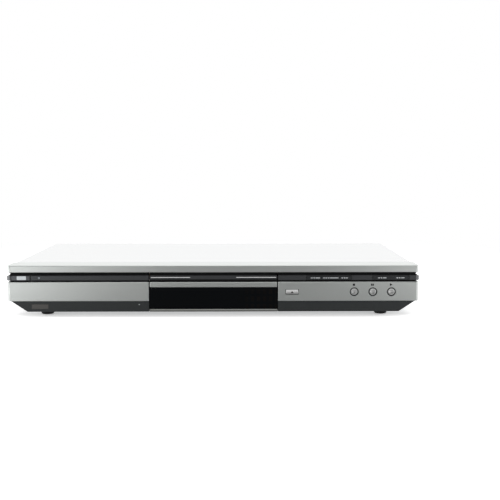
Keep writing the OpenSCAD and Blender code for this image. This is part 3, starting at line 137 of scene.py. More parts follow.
@dataclass(frozen=True)
class Finish:
    """What every finish has: a name, a colour, and a way to paint a shader."""

    name: str
    colour: str

    def material(self) -> bpy.types.Material:
        """Builds the material, or hands back the one already built.

        Returns:
            The material named after this finish.
        """
        made = bpy.data.materials.get(self.name)
        if made:
            return made
        made = bpy.data.materials.new(self.name)
        made.use_nodes = True
        tree = made.node_tree
        tree.nodes.clear()
        shader = add(tree, "ShaderNodeBsdfPrincipled", {"Base Color": linear(self.colour)})
        add(tree, "ShaderNodeOutputMaterial", {"Surface": shader.outputs["BSDF"]})
        spot = add(tree, "ShaderNodeTexCoord").outputs["Object"]
        self.paint(tree, shader, spot)
        made.diffuse_color = linear(self.colour)
        return made

    def paint(self, tree: Tree, shader: Node, spot: Socket) -> None:
        """Gives the shader its pattern; each finish has its own.

        Args:
            tree: The material's node tree.
            shader: Its Principled shader.
            spot: The position on the object, in metres.
        """

    def tint(self, tree: Tree, shader: Node, amount: Socket, other: str) -> None:
        """Blends the base colour towards another one.

        Args:
            tree: The material's node tree.
            shader: Its Principled shader.
            amount: How much of the other colour shows, 0 to 1.
            other: The other colour, as hex.
        """
        mix = add(
            tree,
            "ShaderNodeMix",
            {MIX_AMOUNT: amount, MIX_FROM_COLOUR: linear(self.colour), MIX_TO_COLOUR: linear(other)},
            data_type="RGBA",
        )
        tree.links.new(mix.outputs[MIXED_COLOUR], shader.inputs["Base Color"])


@dataclass(frozen=True)
class SilverLacquer(Finish):
    """ABS moulded and sprayed with silver lacquer: tiny flakes glint under a satin clear coat."""

    metallic: float = 0.85
    roughness: float = 0.34
    # Real flakes are about 0.03 mm; they are drawn ten times as coarse, so that they show
    flake_mm: float = 0.3
    # Slow drift of the sprayed film, which keeps large faces from looking flat
    drift_mm: float = 45.0
    flake: str = "#8d8f8f"
    # How far flakes and drift can turn the colour towards that of the flakes
    flake_share: float = 0.10
    drift_share: float = 0.12
    unevenness: float = 0.04
    ripple_mm: float = 1.2
    ripple_depth_mm: float = 0.01

    def paint(self, tree: Tree, shader: Node, spot: Socket) -> None:
        """Adds flakes, the film's drift and the clear coat's faint ripple.

        Args:
            tree: The material's node tree.
            shader: Its Principled shader.
            spot: The position on the object, in metres.
        """
        flakes = add(tree, "ShaderNodeTexVoronoi", {"Vector": spot, "Scale": per_mm(self.flake_mm)})
        drift = add(
            tree, "ShaderNodeTexNoise", {"Vector": spot, "Scale": per_mm(self.drift_mm), "Detail": 2.0}
        )
        glint = add(
            tree, "ShaderNodeMath", {0: flakes.outputs["Color"], 1: self.flake_share}, operation="MULTIPLY"
        )
        shade = add(
            tree,
            "ShaderNodeMath",
            {0: drift.outputs["Fac"], 1: self.drift_share, 2: glint.outputs[0]},
            operation="MULTIPLY_ADD",
        )
        self.tint(tree, shader, shade.outputs[0], self.flake)
        add(
            tree,
            "ShaderNodeMapRange",
            {
                "Value": flakes.outputs["Color"], "To Min": self.roughness - self.unevenness,
                "To Max": self.roughness + self.unevenness,
            },
            into=shader.inputs["Roughness"],
        )
        ripple = add(
            tree, "ShaderNodeTexNoise", {"Vector": spot, "Scale": per_mm(self.ripple_mm), "Detail": 1.0}
        )
        add(
            tree,
            "ShaderNodeBump",
            {"Height": ripple.outputs["Fac"], "Strength": 0.25, "Distance": self.ripple_depth_mm / 1000},
            into=shader.inputs["Normal"],
        )
        shader.inputs["Metallic"].default_value = self.metallic
        shader.inputs["Coat Weight"].default_value = 0.25
        shader.inputs["Coat Roughness"].default_value = 0.18


@dataclass(frozen=True)
class MouldedPlastic(Finish):
    """ABS or polystyrene as it leaves a spark-eroded mould: an even, dull grain that scatters light."""

    roughness: float = 0.5
    grain_mm: float = 0.35
    grain_depth_mm: float = 0.012
    worn: str = "#5a5b5c"
    worn_share: float = 0.12
    flow_mm: float = 30.0
    unevenness: float = 0.08

    def paint(self, tree: Tree, shader: Node, spot: Socket) -> None:
        """Adds the mould's grain and the slow flow marks of the melt.

        Args:
            tree: The material's node tree.
            shader: Its Principled shader.
            spot: The position on the object, in metres.
        """
        grain = add(
            tree, "ShaderNodeTexNoise", {"Vector": spot, "Scale": per_mm(self.grain_mm), "Detail": 3.0}
        )
        flow = add(
            tree,
            "ShaderNodeTexNoise",
            {"Vector": spot, "Scale": per_mm(self.flow_mm), "Detail": 2.0, "Distortion": 1.5},
        )
        amount = add(
            tree,
            "ShaderNodeMapRange",
            {"Value": flow.outputs["Fac"], "From Min": 0.3, "From Max": 0.8, "To Max": self.worn_share},
        )
        self.tint(tree, shader, amount.outputs[0], self.worn)
        add(
            tree,
            "ShaderNodeMapRange",
            {
                "Value": grain.outputs["Fac"], "To Min": self.roughness - self.unevenness,
                "To Max": self.roughness + self.unevenness,
            },
            into=shader.inputs["Roughness"],
        )
        add(
            tree,
            "ShaderNodeBump",
            {"Height": grain.outputs["Fac"], "Strength": 0.5, "Distance": self.grain_depth_mm / 1000},
            into=shader.inputs["Normal"],
        )
        shader.inputs["IOR"].default_value = 1.53


@dataclass(frozen=True)
class PolishedAcrylic(Finish):
    """Cast acrylic with a polished face: dark, deep gloss with a trace of dust and fine wiping marks."""

    transmission: float = 0.0
    roughness: float = 0.05
    # 0.5 is plain acrylic; less stands for the matt-coated sheet in front of a display
    gloss: float = 0.5
    wipe_mm: float = 1.5
    wipe_stretch: tuple[float, float, float] = (0.08, 1.0, 1.0)
    wipe_roughness: float = 0.09

    def paint(self, tree: Tree, shader: Node, spot: Socket) -> None:
        """Adds wiping marks along X to the gloss.

        Args:
            tree: The material's node tree.
            shader: Its Principled shader.
            spot: The position on the object, in metres.
        """
        stretched = add(tree, "ShaderNodeMapping", {"Vector": spot, "Scale": self.wipe_stretch})
        wipes = add(
            tree,
            "ShaderNodeTexNoise",
            {"Vector": stretched.outputs[0], "Scale": per_mm(self.wipe_mm), "Detail": 4.0},
        )
        add(
            tree,
            "ShaderNodeMapRange",
            {
                "Value": wipes.outputs["Fac"], "From Min": 0.35, "From Max": 0.8, "To Min": self.roughness,
                "To Max": self.roughness + self.wipe_roughness,
            },
            into=shader.inputs["Roughness"],
        )
        shader.inputs["IOR"].default_value = 1.49
        shader.inputs["Transmission Weight"].default_value = self.transmission
        shader.inputs["Specular IOR Level"].default_value = self.gloss


@dataclass(frozen=True)
class SmokedWindow(PolishedAcrylic):
    """Smoked acrylic over an unlit display: near black, with some of the tube's grid just showing."""

    shown: str = "#110f0e"
    digit_mm: float = 9.0
    # Metres right of the middle over which the tube's grid comes into view
    shown_at: tuple[float, float] = (0.024, 0.042)

    def paint(self, tree: Tree, shader: Node, spot: Socket) -> None:
        """Adds the unlit segments, seen dimly through the smoked sheet, to the gloss.

        Args:
            tree: The material's node tree.
            shader: Its Principled shader.
            spot: The position on the object, in metres.
        """
        super().paint(tree, shader, spot)
        turned_up = add(tree, "ShaderNodeMapping", {"Vector": spot, "Rotation": (math.pi / 2, 0.0, 0.0)})
        digits = add(
            tree,
            "ShaderNodeTexBrick",
            {
                "Vector": turned_up.outputs[0], "Color1": (1, 1, 1, 1), "Color2": (0.6, 0.6, 0.6, 1),
                "Mortar": (0, 0, 0, 1), "Scale": per_mm(self.digit_mm), "Mortar Size": 0.16,
                "Brick Width": 0.7, "Row Height": 0.9,
            },
            offset=0.0,
        )
        split = add(tree, "ShaderNodeSeparateXYZ", {"Vector": spot})
        middle = add(
            tree,
            "ShaderNodeMapRange",
            {"Value": split.outputs["X"], "From Min": self.shown_at[0], "From Max": self.shown_at[1]},
            interpolation_type="SMOOTHSTEP",
        )
        amount = add(
            tree, "ShaderNodeMath", {0: digits.outputs["Color"], 1: middle.outputs[0]}, operation="MULTIPLY"
        )
        self.tint(tree, shader, amount.outputs[0], self.shown)


@dataclass(frozen=True)
class SprayedSteel(Finish):
    """Steel sheet, phosphated and sprayed: a soft metallic satin with a fine orange-peel ripple."""

    metallic: float = 0.35
    roughness: float = 0.42
    peel_mm: float = 0.9
    peel_depth_mm: float = 0.02
    unevenness: float = 0.06
    flake: str = "#b4b6b6"
    flake_mm: float = 0.4
    flake_share: float = 0.14

    def paint(self, tree: Tree, shader: Node, spot: Socket) -> None:
        """Adds the ripple of the spray and the flakes in the film.

        Args:
            tree: The material's node tree.
            shader: Its Principled shader.
            spot: The position on the object, in metres.
        """
        peel = add(
            tree, "ShaderNodeTexNoise", {"Vector": spot, "Scale": per_mm(self.peel_mm), "Detail": 2.0}
        )
        flakes = add(tree, "ShaderNodeTexVoronoi", {"Vector": spot, "Scale": per_mm(self.flake_mm)})
        amount = add(
            tree, "ShaderNodeMath", {0: flakes.outputs["Color"], 1: self.flake_share}, operation="MULTIPLY"
        )
        self.tint(tree, shader, amount.outputs[0], self.flake)
        add(
            tree,
            "ShaderNodeMapRange",
            {
                "Value": peel.outputs["Fac"], "To Min": self.roughness - self.unevenness,
                "To Max": self.roughness + self.unevenness,
            },
            into=shader.inputs["Roughness"],
        )
        add(
            tree,
            "ShaderNodeBump",
            {"Height": peel.outputs["Fac"], "Strength": 0.4, "Distance": self.peel_depth_mm / 1000},
            into=shader.inputs["Normal"],
        )
        shader.inputs["Metallic"].default_value = self.metallic


@dataclass(frozen=True)
class BareMetal(Finish):
    """Metal left bare: rolled, drawn or turned, with lines along the way it was worked."""

    roughness: float = 0.3
    # Size of the worked lines along X, Y and Z, in mm
    lines_mm: tuple[float, float, float] = (12.0, 0.4, 0.4)
    stain: str = "#8f8a78"
    stain_amount: float = 0.25
    patch_mm: float = 6.0
    # How much smoother and rougher than the rest the worked lines are
    polish: float = 0.1
    scratch: float = 0.12
    line_depth_mm: float = 0.01

    def paint(self, tree: Tree, shader: Node, spot: Socket) -> None:
        """Adds the worked lines and the patches that plating or handling leaves.

        Args:
            tree: The material's node tree.
            shader: Its Principled shader.
            spot: The position on the object, in metres.
        """
        stretched = add(
            tree,
            "ShaderNodeMapping",
            {"Vector": spot, "Scale": tuple(per_mm(size) for size in self.lines_mm)},
        )
        lines = add(
            tree, "ShaderNodeTexNoise", {"Vector": stretched.outputs[0], "Scale": 1.0, "Detail": 4.0}
        )
        patches = add(
            tree,
            "ShaderNodeTexVoronoi",
            {"Vector": spot, "Scale": per_mm(self.patch_mm)},
            feature="SMOOTH_F1",
        )
        amount = add(
            tree,
            "ShaderNodeMath",
            {0: patches.outputs["Color"], 1: self.stain_amount},
            operation="MULTIPLY",
        )
        self.tint(tree, shader, amount.outputs[0], self.stain)
        add(
            tree,
            "ShaderNodeMapRange",
            {
                "Value": lines.outputs["Fac"], "To Min": self.roughness - self.polish,
                "To Max": self.roughness + self.scratch,
            },
            into=shader.inputs["Roughness"],
        )
        add(
            tree,
            "ShaderNodeBump",
            {"Height": lines.outputs["Fac"], "Strength": 0.3, "Distance": self.line_depth_mm / 1000},
            into=shader.inputs["Normal"],
        )
        shader.inputs["Metallic"].default_value = 1.0


@dataclass(frozen=True)
class MouldedRubber(Finish):
    """Rubber pressed in a mould: nearly black, very dull, with a dusty bloom in its pores."""

    bloom: str = "#3a3a39"
    pore_mm: float = 0.5
    pore_depth_mm: float = 0.03

    def paint(self, tree: Tree, shader: Node, spot: Socket) -> None:
        """Adds the pores and the bloom.

        Args:
            tree: The material's node tree.
            shader: Its Principled shader.
            spot: The position on the object, in metres.
        """
        pores = add(
            tree, "ShaderNodeTexNoise", {"Vector": spot, "Scale": per_mm(self.pore_mm), "Detail": 5.0}
        )
        bloom = add(
            tree,
            "ShaderNodeMapRange",
            {"Value": pores.outputs["Fac"], "From Min": 0.5, "From Max": 0.75, "To Max": 0.35},
        )
        self.tint(tree, shader, bloom.outputs[0], self.bloom)
        add(
            tree,
            "ShaderNodeBump",
            {"Height": pores.outputs["Fac"], "Strength": 0.6, "Distance": self.pore_depth_mm / 1000},
            into=shader.inputs["Normal"],
        )
        shader.inputs["Roughness"].default_value = 0.85
        shader.inputs["IOR"].default_value = 1.52


@dataclass(frozen=True)
class Acetal(Finish):
    """Acetal moulded for gears: waxy white that light enters a little, with a faint sheen."""

    grease: str = "#c9c3ae"
    grease_mm: float = 5.0

    def paint(self, tree: Tree, shader: Node, spot: Socket) -> None:
        """Adds a smear of grease and the waxy depth.

        Args:
            tree: The material's node tree.
            shader: Its Principled shader.
            spot: The position on the object, in metres.
        """
        grease = add(
            tree,
            "ShaderNodeTexNoise",
            {"Vector": spot, "Scale": per_mm(self.grease_mm), "Detail": 3.0, "Distortion": 1.0},
        )
        amount = add(
            tree,
            "ShaderNodeMapRange",
            {"Value": grease.outputs["Fac"], "From Min": 0.55, "From Max": 0.8, "To Max": 0.4},
        )
        self.tint(tree, shader, amount.outputs[0], self.grease)
        add(
            tree,
            "ShaderNodeMapRange",
            {
                "Value": grease.outputs["Fac"], "From Min": 0.4, "From Max": 0.8, "To Min": 0.42,
                "To Max": 0.22,
            },
            into=shader.inputs["Roughness"],
        )
        shader.inputs["IOR"].default_value = 1.48
        shader.inputs["Subsurface Weight"].default_value = 0.15
        shader.inputs["Subsurface Radius"].default_value = (0.0006, 0.0005, 0.0004)


@dataclass(frozen=True)
class BoardLaminate(Finish):
    """Circuit board: resin laminate under solder resist, with etched tracks that show through it."""

    track: str = "#4a8f58"
    pad: str = "#c8ccc8"
    track_mm: float = 2.4
    track_depth_mm: float = 0.04
    # Widths of a track and of a pad, as shares of their cells
    track_share: float = 0.12
    pad_share: float = 0.16

    def paint(self, tree: Tree, shader: Node, spot: Socket) -> None:
        """Adds tracks, which stand up a little, and soldered pads.

        Args:
            tree: The material's node tree.
            shader: Its Principled shader.
            spot: The position on the object, in metres.
        """
        cells = add(
            tree,
            "ShaderNodeTexVoronoi",
            {"Vector": spot, "Scale": per_mm(self.track_mm * 2.2), "Randomness": 0.7},
            feature="DISTANCE_TO_EDGE",
        )
        tracks = add(
            tree,
            "ShaderNodeMath",
            {0: cells.outputs["Distance"], 1: self.track_share},
            operation="LESS_THAN",
        )
        self.tint(tree, shader, tracks.outputs[0], self.track)
        dots = add(
            tree,
            "ShaderNodeTexVoronoi",
            {"Vector": spot, "Scale": per_mm(self.track_mm * 1.6), "Randomness": 0.5},
        )
        pads = add(
            tree, "ShaderNodeMath", {0: dots.outputs["Distance"], 1: self.pad_share}, operation="LESS_THAN"
        )
        base = shader.inputs["Base Color"].links[0].from_socket
        solder = add(
            tree,
            "ShaderNodeMix",
            {MIX_AMOUNT: pads.outputs[0], MIX_FROM_COLOUR: base, MIX_TO_COLOUR: linear(self.pad)},
            data_type="RGBA",
        )
        tree.links.new(solder.outputs[MIXED_COLOUR], shader.inputs["Base Color"])
        add(
            tree,
            "ShaderNodeBump",
            {"Height": tracks.outputs[0], "Strength": 0.5, "Distance": self.track_depth_mm / 1000},
            into=shader.inputs["Normal"],
        )
        shader.inputs["Roughness"].default_value = 0.32


@dataclass(frozen=True)
class TapedCore(Finish):
    """Sintered ferrite with a taped winding: rough grey legs round a smooth yellow band."""

    tape: str = "#b99b3a"
    # Depths of the core's front and back; what stands out past them is tape
    core_depths: tuple[float, float] = (164.0, 176.0)
    past_core_mm: float = 0.1
    grit_mm: float = 0.3
    # The wave node draws a line every 2 pi / 20 of its scale, so these are 2.5 mm apart
    layer_scale_mm: float = 8.0
    relief_depth_mm: float = 0.05

    def paint(self, tree: Tree, shader: Node, spot: Socket) -> None:
        """Adds the tape, which is all that stands out before and behind the core.

        Args:
            tree: The material's node tree.
            shader: Its Principled shader.
            spot: The position on the object, in metres.
        """
        split = add(tree, "ShaderNodeSeparateXYZ", {"Vector": spot})
        front, back = (at(0, depth, 0).y for depth in self.core_depths)
        middle, half = (front + back) / 2, (back - front) / 2
        away = add(tree, "ShaderNodeMath", {0: split.outputs["Y"], 1: middle}, operation="SUBTRACT")
        size = add(tree, "ShaderNodeMath", {0: away.outputs[0]}, operation="ABSOLUTE")
        taped = add(
            tree,
            "ShaderNodeMath",
            {0: size.outputs[0], 1: half + self.past_core_mm / 1000},
            operation="GREATER_THAN",
        )
        self.tint(tree, shader, taped.outputs[0], self.tape)
        grit = add(
            tree, "ShaderNodeTexNoise", {"Vector": spot, "Scale": per_mm(self.grit_mm), "Detail": 4.0}
        )
        layers = add(
            tree,
            "ShaderNodeTexWave",
            {"Vector": spot, "Scale": per_mm(self.layer_scale_mm)},
            bands_direction="Z",
        )
        add(
            tree,
            "ShaderNodeMapRange",
            {"Value": taped.outputs[0], "To Min": 0.75, "To Max": 0.3},
            into=shader.inputs["Roughness"],
        )
        height = add(
            tree,
            "ShaderNodeMix",
            {MIX_AMOUNT: taped.outputs[0], MIX_FROM: grit.outputs["Fac"], MIX_TO: layers.outputs["Fac"]},
        )
        add(
            tree,
            "ShaderNodeBump",
            {"Height": height.outputs[0], "Strength": 0.4, "Distance": self.relief_depth_mm / 1000},
            into=shader.inputs["Normal"],
        )


@dataclass(frozen=True)
class ShrinkSleeve(Finish):
    """Capacitors: a glossy shrunk sleeve, with the bare aluminium can showing on top."""

    can: str = "#c3c6c8"
    # Faces that point up more than this are the can's bare top
    top_facing: float = 0.9
    shrink_mm: float = 1.5

    def paint(self, tree: Tree, shader: Node, spot: Socket) -> None:
        """Adds the bare top and the sleeve's faint shrink lines.

        Args:
            tree: The material's node tree.
            shader: Its Principled shader.
            spot: The position on the object, in metres.
        """
        facing = add(tree, "ShaderNodeNewGeometry").outputs["Normal"]
        split = add(tree, "ShaderNodeSeparateXYZ", {"Vector": facing})
        top = add(
            tree, "ShaderNodeMath", {0: split.outputs["Z"], 1: self.top_facing}, operation="GREATER_THAN"
        )
        self.tint(tree, shader, top.outputs[0], self.can)
        tree.links.new(top.outputs[0], shader.inputs["Metallic"])
        lines = add(
            tree, "ShaderNodeTexNoise", {"Vector": spot, "Scale": per_mm(self.shrink_mm), "Detail": 2.0}
        )
        add(
            tree,
            "ShaderNodeMapRange",
            {"Value": lines.outputs["Fac"], "To Min": 0.2, "To Max": 0.34},
            into=shader.inputs["Roughness"],
        )


@dataclass(frozen=True)
class TubeGlass(Finish):
    """Fluorescent display tube: clear blown glass over dull grey segments on a dark plate."""

    segment: str = "#6c7a74"
    digit_mm: float = 9.0
    # The wave node draws a line every 2 pi / 20 of its scale, so the grid's wires are 0.4 mm apart
    grid_scale_mm: float = 1.2

    def paint(self, tree: Tree, shader: Node, spot: Socket) -> None:
        """Adds the row of unlit segments as a brick pattern in the X and Z plane.

        Args:
            tree: The material's node tree.
            shader: Its Principled shader.
            spot: The position on the object, in metres.
        """
        turned = add(tree, "ShaderNodeMapping", {"Vector": spot, "Rotation": (math.pi / 2, 0.0, 0.0)})
        digits = add(
            tree,
            "ShaderNodeTexBrick",
            {
                "Vector": turned.outputs[0], "Color1": (1, 1, 1, 1), "Color2": (1, 1, 1, 1),
                "Mortar": (0, 0, 0, 1), "Scale": per_mm(self.digit_mm), "Mortar Size": 0.16,
                "Brick Width": 0.7, "Row Height": 0.62,
            },
            offset=0.0,
        )
        grid = add(
            tree,
            "ShaderNodeTexWave",
            {"Vector": spot, "Scale": per_mm(self.grid_scale_mm)},
            bands_direction="X",
        )
        lit = add(
            tree,
            "ShaderNodeMath",
            {0: digits.outputs["Color"], 1: grid.outputs["Fac"]},
            operation="MULTIPLY",
        )
        self.tint(tree, shader, lit.outputs[0], self.segment)
        shader.inputs["Roughness"].default_value = 0.06
        shader.inputs["Coat Weight"].default_value = 1.0
        shader.inputs["Coat Roughness"].default_value = 0.02


@dataclass(frozen=True)
class FlatCable(Finish):
    """Flat cable: white plastic film, through which parallel tinned strips show faintly."""

    strip: str = "#a9acab"
    # Real strips are 1 mm apart. The wave node draws a line every 2 pi / 20 of its scale, so these are
    # 6.3 mm apart, which is coarse enough to show
    strip_scale_mm: float = 20.0
    strip_depth_mm: float = 0.04

    def paint(self, tree: Tree, shader: Node, spot: Socket) -> None:
        """Adds the strips that show as faint lines through the film.

        Args:
            tree: The material's node tree.
            shader: Its Principled shader.
            spot: The position on the object, in metres.
        """
        strips = add(
            tree,
            "ShaderNodeTexWave",
            {"Vector": spot, "Scale": per_mm(self.strip_scale_mm)},
            bands_direction="X",
        )
        amount = add(
            tree,
            "ShaderNodeMapRange",
            {"Value": strips.outputs["Fac"], "From Min": 0.6, "From Max": 0.9, "To Max": 0.5},
        )
        self.tint(tree, shader, amount.outputs[0], self.strip)
        add(
            tree,
            "ShaderNodeBump",
            {"Height": strips.outputs["Fac"], "Strength": 0.3, "Distance": self.strip_depth_mm / 1000},
            into=shader.inputs["Normal"],
        )
        shader.inputs["Roughness"].default_value = 0.3


@dataclass(frozen=True)
class ScreenInk(Finish):
    """Legends in screen-printed ink: thin, even and slightly broken at its edges."""

    worn: str = "#808080"
    screen_mm: float = 0.25

    def paint(self, tree: Tree, shader: Node, spot: Socket) -> None:
        """Adds the mesh marks of the printing screen.

        Args:
            tree: The material's node tree.
            shader: Its Principled shader.
            spot: The position on the object, in metres.
        """
        screen = add(
            tree, "ShaderNodeTexNoise", {"Vector": spot, "Scale": per_mm(self.screen_mm), "Detail": 2.0}
        )
        amount = add(
            tree,
            "ShaderNodeMapRange",
            {"Value": screen.outputs["Fac"], "From Min": 0.45, "From Max": 0.8, "To Max": 0.3},
        )
        self.tint(tree, shader, amount.outputs[0], self.worn)
        shader.inputs["Roughness"].default_value = 0.5


# Front
SILVER = SilverLacquer("silver_lacquer_sprayed_on_abs", "#eaeeeb", flake="#babfbc")
SILVER_KEY = SilverLacquer(
    "silver_lacquer_on_key_caps", "#f0f1f0", roughness=0.3, flake_mm=0.6, flake="#d4d6d6"
)
CHARCOAL = SilverLacquer(
    "charcoal_lacquer_on_strips", "#505254", metallic=0.6, roughness=0.46, flake="#383a3e"
)
SKIRT = MouldedPlastic("dark_grey_moulded_abs", "#2d3132", roughness=0.5, worn="#464a4c")
# Black moulding for the key carriers; on the base moulding and the door bar it is painted shade in the
# recess
BLACK_AND_RECESS_SHADE = MouldedPlastic("black_moulded_abs", "#050708", roughness=0.7, worn="#0a0c0d")
SMOKED = SmokedWindow("smoked_acrylic_window", "#0a0c0e", roughness=0.06, gloss=0.1)
SENSOR_GREY = PolishedAcrylic("smoked_acrylic_sensor_cover", "#575654", roughness=0.2, gloss=0.3)
LIGHT_PIPE = PolishedAcrylic("clear_acrylic_light_pipe", "#c9d2d8", transmission=0.5, roughness=0.12)
PAD = PolishedAcrylic("pearl_moulded_power_pad", "#dde3e6", roughness=0.3, gloss=0.3)
INK_WHITE = ScreenInk("white_screen_ink", "#f4f6f6", worn="#c8cacc")
INK_DARK = ScreenInk("dark_screen_ink", "#0e0f10", worn="#1c1d1e")
INK_GREY = ScreenInk("grey_screen_ink", "#c8ccce", worn="#a0a4a6")
# Lighter copy of the strips' lacquer for their ends: a painted highlight where the rounded ends catch light
STRIP_END_HIGHLIGHT = SilverLacquer("grey_lacquer_on_strip_ends", "#787a7b", roughness=0.3, flake="#606264")
# Silver lacquer made lighter than the other caps' lacquer, as a painted highlight on the open key
OPEN_KEY_HIGHLIGHT = SilverLacquer(
    "bright_silver_lacquer_on_open_key", "#fdfdfc", roughness=0.36, flake_mm=0.6, flake="#f2f3f2"
)
STRIP_KEY = SilverLacquer(
    "charcoal_lacquer_on_strip_keys", "#3e4042", metallic=0.6, roughness=0.46, flake="#2c2e31"
)
POWER_GREY = SilverLacquer(
    "grey_lacquer_on_power_key", "#626467", metallic=0.6, roughness=0.4, flake="#4a4c50"
)
SILL = BareMetal("satin_aluminium_foil_sill", "#9c9e9c", roughness=0.42, lines_mm=(40.0, 0.3, 0.3))
# Case
COVER = SprayedSteel(
    "silver_sprayed_steel_cover", "#f2f3f3", metallic=0.85, roughness=0.22, flake="#d4d6d6"
)
PANEL = SprayedSteel("black_sprayed_steel_panel", "#1d1e1f", metallic=0.1, roughness=0.5, flake="#303132")
ZINC = BareMetal("zinc_plated_steel_sheet", "#b4b8ba", roughness=0.36)
SCREW = BareMetal("zinc_plated_steel_screws", "#a8acae", roughness=0.3, lines_mm=(0.5, 0.5, 0.5))
RUBBER = MouldedRubber("black_moulded_rubber", "#242525")
# Inside
TURNED = BareMetal(
    "turned_steel_rods_and_cans", "#c0c3c5", roughness=0.22, lines_mm=(0.4, 20.0, 0.4), stain_amount=0.1
)
EXTRUDED = BareMetal(
    "extruded_aluminium_fins", "#c4c7c9", roughness=0.34, lines_mm=(0.5, 0.5, 15.0), stain_amount=0.08
)
LOADER_BLACK = MouldedPlastic("black_moulded_polystyrene_loader", "#1e2022", roughness=0.48)
TRAY_GREY = MouldedPlastic("dark_grey_moulded_tray", "#303234", roughness=0.5, grain_mm=0.5)
DECK_GREY = MouldedPlastic("grey_glass_filled_nylon_deck", "#4b4d4f", roughness=0.55, worn="#6a6c6e")
SOCKET_BLACK = MouldedPlastic(
    "black_moulded_pbt_sockets", "#141516", roughness=0.35, grain_mm=0.2, worn="#262728"
)
WHITE_GEAR = Acetal("white_moulded_acetal", "#e4e3dc")
GREEN_BOARD = BoardLaminate("green_glass_epoxy_board", "#1f5a35")
BROWN_BOARD = BoardLaminate("brown_paper_laminate_board", "#9a7440", track="#b08c52", track_mm=4.0)
CORE = TapedCore("sintered_ferrite_with_tape", "#4a4744")
SLEEVE = ShrinkSleeve("blue_shrunk_capacitor_sleeve", "#24365c")
TUBE = TubeGlass("display_tube_glass", "#262b2c")
CABLE = FlatCable("white_film_flat_cable", "#dfe0dc")
WIRE = MouldedPlastic("cream_pvc_wire_insulation", "#cfc8b4", roughness=0.4, grain_mm=1.0, worn="#b8b09a")
CHIP_EPOXY = MouldedPlastic(
    "black_moulded_epoxy_chips", "#1c1d1e", roughness=0.55, grain_mm=0.15, worn="#343536"
)
BELT = MouldedRubber("black_cut_rubber_belt", "#1a1a1a")
GOLD = BareMetal(
    "gold_plated_contacts", "#d9b765", roughness=0.2, lines_mm=(0.5, 8.0, 0.5), stain_amount=0.05
)
LENS = PolishedAcrylic("coated_objective_lens", "#2b3f63", transmission=0.3, roughness=0.03)


class RingColour(Enum):
    """Colours of the rings moulded round the phono sockets, by what each carries."""

    VIDEO = "#d8b01e"
    LEFT = "#d9d9d4"
    RIGHT = "#b3202a"
    DIGITAL = "#d0691c"
    GREEN = "#2c8a43"
    BLUE = "#2a55a8"


# ---- Meshes --------------------------------------------------------------------------------------

WELD_M = 2e-6  # corners of a solid that are nearer than this are one
FLAT_DEG = 0.6  # faces of a solid that meet flatter than this are one
ROUNDING = (0.0, 0.12, 0.45, 1.0)  # where a rounded side has its lines, as shares of its width


def softened(node: str, width_mm: float, segments: int = 2, sharp_deg: float = 35.0) -> bmesh.types.BMesh:
    """Copies a CAD node's mesh and rounds its sharp edges, which the bare solid lacks.

    Args:
        node: The CAD node.
        width_mm: Width of the rounding.
        segments: Number of strips across the rounding.
        sharp_deg: Edges sharper than this are rounded.

    Returns:
        The rounded mesh, in metres.
    """
    shape = bmesh.new()
    shape.from_mesh(bpy.data.objects[node].data)
    bmesh.ops.remove_doubles(shape, verts=shape.verts, dist=WELD_M)
    bmesh.ops.dissolve_limit(
        shape, angle_limit=math.radians(FLAT_DEG), verts=shape.verts, edges=shape.edges, delimit={"NORMAL"}
    )
    shape.normal_update()
    limit = math.radians(sharp_deg)
    sharp = [e for e in shape.edges if len(e.link_faces) == 2 and e.calc_face_angle(0.0) > limit]
    bmesh.ops.bevel(
        shape,
        geom=sharp,
        offset=width_mm / 1000,
        offset_type="OFFSET",
        segments=segments,
        profile=0.5,
        affect="EDGES",
        clamp_overlap=True,
        harden_normals=False,
    )
    return shape


def slab(
    outline: Sequence[tuple[float, float]], front: float, back: float, edge_mm: float = 0.0
) -> bmesh.types.BMesh:
    """Makes a flat-fronted slab that faces the viewer.

    Args:
        outline: (x, z) corners in mm, in order.
        front: Depth of its front face, in mm.
        back: Depth of its back face, in mm.
        edge_mm: Rounding of the edges round the front face.

    Returns:
        The closed slab.
    """
    shape = bmesh.new()
    ring = [shape.verts.new(at(x, back, z)) for x, z in outline]
    face = shape.faces.new(ring)
    pushed = bmesh.ops.extrude_face_region(shape, geom=[face])
    fresh = [v for v in pushed["geom"] if isinstance(v, bmesh.types.BMVert)]
    for vertex in fresh:
        vertex.co.y = (FRONT_Y + front) / 1000
    bmesh.ops.recalc_face_normals(shape, faces=shape.faces)
    if edge_mm:
        rim = [e for e in shape.edges if e.verts[0] in fresh and e.verts[1] in fresh]
        bmesh.ops.bevel(shape, geom=rim, offset=edge_mm / 1000, segments=2, profile=0.5, affect="EDGES")
    return shape


def oblong(
    x0: float, z0: float, x1: float, z1: float, radius: float = 0.0, steps: int = 4
) -> list[tuple[float, float]]:
    """Corners of a rectangle with rounded corners.

    Args:
        x0: Left side.
        z0: Lower side.
        x1: Right side.
        z1: Upper side.
        radius: Radius of its corners.
        steps: Number of edges in each rounded corner.

    Returns:
        (x, z) corners in mm, in order.
    """
    if not radius:
        return [(x0, z0), (x1, z0), (x1, z1), (x0, z1)]
    centres = [(x1 - radius, z0 + radius, -90), (x1 - radius, z1 - radius, 0),
               (x0 + radius, z1 - radius, 90), (x0 + radius, z0 + radius, 180)]
    corners = []
    for cx, cz, start in centres:
        for k in range(steps + 1):
            turn = math.radians(start + 90 * k / steps)
            corners.append((cx + radius * math.cos(turn), cz + radius * math.sin(turn)))
    return corners


def centred(x: float, z: float, half_x: float, half_z: float) -> list[tuple[float, float]]:
    """Corners of a rectangle round a point.

    Args:
        x: Its middle's distance from the player's middle.
        z: Its middle's height.
        half_x: Half its width.
        half_z: Half its height.

    Returns:
        (x, z) corners in mm, in order.
    """
    return oblong(x - half_x, z - half_z, x + half_x, z + half_z)


class Axis(Enum):
    """Which way a turned shape's axis points."""

    BACK = Matrix.Rotation(math.radians(-90), 3, "X")
    UP = Matrix.Identity(3)


